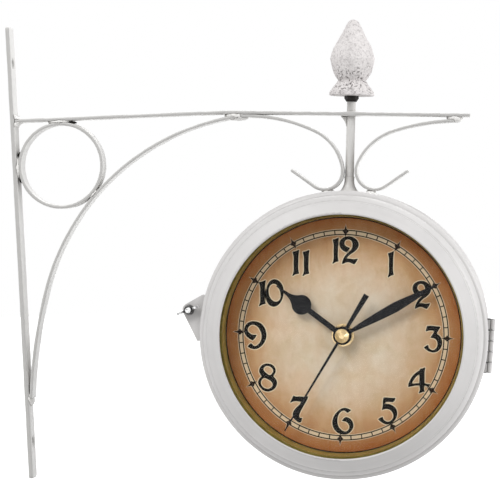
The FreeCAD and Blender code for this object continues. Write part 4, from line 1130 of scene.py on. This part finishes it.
NOUGHT = [
    [
        (3.3, 6.43),
        (5.6, 5.64),
        (7.57, 3.5),
        (8.64, 0.64),
        (8.7, -2.57),
        (8.1, -5.43),
        (6.86, -7.93),
        (5.07, -9.7),
        (2.93, -10.45),
        (0.8, -9.9),
        (-0.8, -8.3),
        (-1.8, -5.8),
        (-2.1, -2.9),
        (-1.8, 0.3),
        (-1.0, 3.14),
        (0.43, 5.3),
        (1.86, 6.2),
    ],
    [
        (2.75, 4.04),
        (4.36, 3.5),
        (5.7, 1.7),
        (6.8, -0.43),
        (7.35, -2.93),
        (7.2, -5.43),
        (5.96, -7.1),
        (4.2, -7.7),
        (2.2, -7.04),
        (0.43, -5.25),
        (-0.6, -2.57),
        (-0.75, -0.07),
        (-0.1, 2.25),
        (1.3, 3.7),
    ],
]
# hour, then each outline with its shift from the hour's middle and its width scale
NUMBERS = {
    1: [(ONE, 1.83, -1.75, 0.86)],
    2: [(TWO, 1.5, -0.4, 0.95)],
    3: [(THREE, 0, 0, 1)],
    4: [(FOUR, 0, 0, 1)],
    5: [(FIVE, 0, 0, 1)],
    6: [(SIX, 0, 0, 1)],
    7: [(SEVEN, 0, 0, 1)],
    8: [(EIGHT, 0, 0, 1)],
    9: [(NINE, 0, 0, 1)],
    10: [(ONE, -4.37, -2.43, 1), (NOUGHT, 0, 0, 1)],
    11: [(ONE, -3.58, -2.57, 1), (ONE, 2.9, -2.45, 1)],
    12: [(ONE, -5.85, -1.45, 0.9), (TWO, 2.4, -1.0, 1)],
}
NUMBER_RING = 54.5  # millimetres from the dial's middle to each hour's middle


def number_mesh(name, grow):
    """Every numeral as one flat mesh, its outlines moved outwards by grow millimetres."""
    curve = bpy.data.curves.new(name, "CURVE")
    curve.dimensions = "2D"
    curve.fill_mode = "BOTH"
    curve.resolution_u = 8
    for hour, glyphs in NUMBERS.items():
        angle = math.radians(30 * hour)
        middle = (NUMBER_RING * math.sin(angle), NUMBER_RING * math.cos(angle))
        for outlines, shift_x, shift_y, width in glyphs:
            for outline in outlines:
                spline = curve.splines.new("BEZIER")
                spline.bezier_points.add(len(outline) - 1)
                spline.use_cyclic_u = True
                for point, spot in zip(spline.bezier_points, outline):
                    x = middle[0] + shift_x + spot[0] * width
                    y = middle[1] + shift_y + spot[1]
                    point.co = (x, y, 0)
                    kind = "VECTOR" if len(spot) == 3 else "AUTO"
                    point.handle_left_type = kind
                    point.handle_right_type = kind
    holder = add_object(name, curve)
    graph = bpy.context.evaluated_depsgraph_get()
    data = bpy.data.meshes.new_from_object(holder.evaluated_get(graph))
    bpy.data.objects.remove(holder)
    widen(data, grow)
    return data


def widen(data, grow):
    """Push a flat mesh's outlines outwards, so that holes close up as well."""
    mesh = bmesh.new()
    mesh.from_mesh(data)
    bmesh.ops.remove_doubles(mesh, verts=mesh.verts, dist=1e-4)
    moves = {}
    for edge in mesh.edges:
        if len(edge.link_faces) != 1:
            continue
        face = edge.link_faces[0]
        along = (edge.verts[1].co - edge.verts[0].co).normalized()
        side = Vector((along.y, -along.x, 0))
        middle = (edge.verts[0].co + edge.verts[1].co) / 2
        if side.dot(face.calc_center_median() - middle) > 0:
            side = -side
        for vertex in edge.verts:
            moves[vertex] = moves.get(vertex, Vector()) + side
    for vertex, total in moves.items():
        if total.length > 1e-6:
            vertex.co += total.normalized() * grow
    mesh.to_mesh(data)
    mesh.free()


PRINT_STEPS = 240


def flat_ring(mesh, inner, outer, height):
    near = circle(mesh, inner, height, PRINT_STEPS)
    far = circle(mesh, outer, height, PRINT_STEPS)
    join_rows(mesh, far, near)


def flat_shape(mesh, corners, angle, height):
    cos, sin = math.cos(angle), math.sin(angle)
    mesh.faces.new(
        [mesh.verts.new((x * cos + y * sin, -x * sin + y * cos, height)) for x, y in corners]
    )


# the minute track in millimetres: its two rings, the width of their lines, half the width
# of a minute's bar, and the marker at each hour with the radius that it grows from
TRACK_OUT, TRACK_IN, LINE = 66.1, 63.4, 0.7
HALF_BAR = 0.34
STAR_MIDDLE = 65.3
STAR = (
    (0, 69.6),
    (0.55, 67.3),
    (1.15, 66.2),
    (2.0, 65.3),
    (1.15, 64.6),
    (0.55, 63.6),
    (0, 61.7),
    (-0.55, 63.6),
    (-1.15, 64.6),
    (-2.0, 65.3),
    (-1.15, 66.2),
    (-0.55, 67.3),
)


BAR_UP, STAR_UP = 0.002, 0.003  # bars and markers above the rings, so that none flickers


def track_lines(grow):
    """Rings, bars and markers, each made larger by about grow millimetres all round."""
    mesh = bmesh.new()
    half = LINE / 2 + grow
    flat_ring(mesh, TRACK_OUT - half, TRACK_OUT + half, 0)
    flat_ring(mesh, TRACK_IN - half, TRACK_IN + half, 0)
    for minute in range(60):
        angle = math.radians(6 * minute)
        if minute % 5:
            wide = HALF_BAR + grow
            bar = [(-wide, TRACK_IN), (-wide, TRACK_OUT), (wide, TRACK_OUT), (wide, TRACK_IN)]
            flat_shape(mesh, bar, angle, BAR_UP)
        else:
            wider, longer = 1 + grow / 1.4, 1 + grow / 3
            star = [(x * wider, STAR_MIDDLE + (y - STAR_MIDDLE) * longer) for x, y in STAR]
            flat_shape(mesh, star[::-1], angle, STAR_UP)
    return mesh


# height of each printed layer above the dial, in millimetres
LAYERS = {
    "track_halo": 0.022,
    "track_cells": 0.030,
    "numbers_halo": 0.040,
    "track": 0.050,
    "dial_edge_shade": 0.060,
    "numbers": 0.062,
}


# how far the painted shadow ring shows inside the spacer's foot and runs on under it, in millimetres
SHADOW_SHOWS, SHADOW_UNDER = 0.7, 0.1


def painted_dial_shadow(side):
    """A thin dark ring of painted shadow on the dial, along the foot of its spacer ring."""
    foot = (spacer_reach(side)[0] - SPACER_TAPER) * 1000
    mesh = bmesh.new()
    flat_ring(mesh, foot - SHADOW_SHOWS, foot + SHADOW_UNDER, DIAL_DEPTH * 1000 + LAYERS["dial_edge_shade"])
    data = to_data(side + "_gasket", mesh)
    data.transform(FACES[side] @ Matrix.Scale(0.001, 4))
    data.materials.append(INK)
    piece = add_object(side + "_gasket", data)
    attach(piece, FACE_BODY[side])


def print_dial(side):
    """The cream cells of the minute track, its lines, and the numerals, each over a halo."""
    place = FACES[side] @ Matrix.Translation((0, 0, DIAL_DEPTH)) @ Matrix.Scale(0.001, 4)

    def finish(name, data, material):
        data.transform(place @ Matrix.Translation((0, 0, LAYERS[name])))
        data.materials.clear()
        data.materials.append(material)
        piece = add_object(f"{side}_{name}", data)
        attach(piece, FACE_BODY[side])

    cells = bmesh.new()
    flat_ring(cells, TRACK_IN, TRACK_OUT, 0)
    finish("track_cells", to_data("cells", cells), HALO)
    finish("track_halo", to_data("halo", track_lines(0.42)), HALO)
    finish("track", to_data("track", track_lines(0)), LINE_INK)
    finish("numbers_halo", number_mesh("numbers_halo", 0.85), HALO)
    finish("numbers", number_mesh("numbers", 0.27), INK)


for face in ("front", "rear"):
    print_dial(face)
    painted_dial_shadow(face)


# ------------------------------------------------------------------ light and floor


MIDDLE = Vector((0.17, 0.0, 0.0))  # of the object, for the lights to point at


def area_light(name, place, size, power):
    """A round lamp, its size in metres and its power in watts."""
    data = bpy.data.lights.new(name, "AREA")
    data.shape = "DISK"
    data.size = size
    data.energy = power
    lamp = add_object(name, data)
    lamp.location = place
    lamp.rotation_mode = "QUATERNION"
    lamp.rotation_quaternion = (Vector(place) - MIDDLE).to_track_quat("Z", "Y")


area_light("key", (-0.55, -1.25, 1.25), 0.9, 17.5)
area_light("side", (1.75, -0.12, 0.3), 0.8, 12.0)
area_light("back", (0.3, 1.3, 0.9), 0.9, 4.0)

world = bpy.data.worlds.new("studio")
SCENE.world = world
world.use_nodes = True
sky = world.node_tree
sky.nodes.clear()
sky_out = sky.nodes.new("ShaderNodeOutputWorld")
rays = sky.nodes.new("ShaderNodeLightPath")


def any_of(tree, sockets):
    """1 where any of the sockets is 1."""
    total = sockets[0]
    for socket in sockets[1:]:
        larger = tree.nodes.new("ShaderNodeMath")
        larger.operation = "MAXIMUM"
        tree.links.new(total, larger.inputs[0])
        tree.links.new(socket, larger.inputs[1])
        total = larger.outputs[0]
    return total


# rays that look at the white room, which is dimmer as a light than it looks
SEEN = ("Is Camera Ray", "Is Glossy Ray", "Is Transmission Ray")
ROOM_LIGHT, ROOM_LOOK = 0.54, 1.0
seen = any_of(sky, [rays.outputs[name] for name in SEEN])
strength = sky.nodes.new("ShaderNodeMapRange")
strength.inputs["To Min"].default_value = ROOM_LIGHT
strength.inputs["To Max"].default_value = ROOM_LOOK
sky.links.new(seen, strength.inputs["Value"])
background = sky.nodes.new("ShaderNodeBackground")
background.inputs["Color"].default_value = (1, 1, 1, 1)
sky.links.new(strength.outputs[0], background.inputs["Strength"])
sky.links.new(background.outputs[0], sky_out.inputs[0])

FLOOR_PLACE = (0.15, 0, -0.30)  # well under the bracket's lowest point
FLOOR_SIZE = 6.0
floor_mesh = bmesh.new()
bmesh.ops.create_grid(floor_mesh, x_segments=1, y_segments=1, size=FLOOR_SIZE)
floor = add_object("floor", to_data("floor", floor_mesh))
floor.location = FLOOR_PLACE
surface = Shader("floor_paper")
pale = surface.blend(surface.noise(0.25, 3.0), (0.60, 0.60, 0.60), (0.63, 0.63, 0.63))
matte = surface.add("BsdfDiffuse", Color=pale)
lift = surface.add("Emission", Color=(1, 1, 1, 1))
path = surface.add("LightPath")
# the paper turns fully white away from the object, and keeps its shadow near it
from_middle = surface.vector("LENGTH", surface.here)
glow = surface.span(from_middle, 0.6, 1.1, 0.46, 0.95)
looked_at = any_of(surface.tree, [path.outputs[n] for n in SEEN])
surface.feed(lift.inputs["Strength"], surface.maths("MULTIPLY", looked_at, glow))
both = surface.add("AddShader")
surface.tree.links.new(matte.outputs[0], both.inputs[0])
surface.tree.links.new(lift.outputs[0], both.inputs[1])
surface.tree.links.new(both.outputs[0], surface.output.inputs[0])
floor.data.materials.append(surface.material)

SCENE.view_settings.view_transform = "Standard"
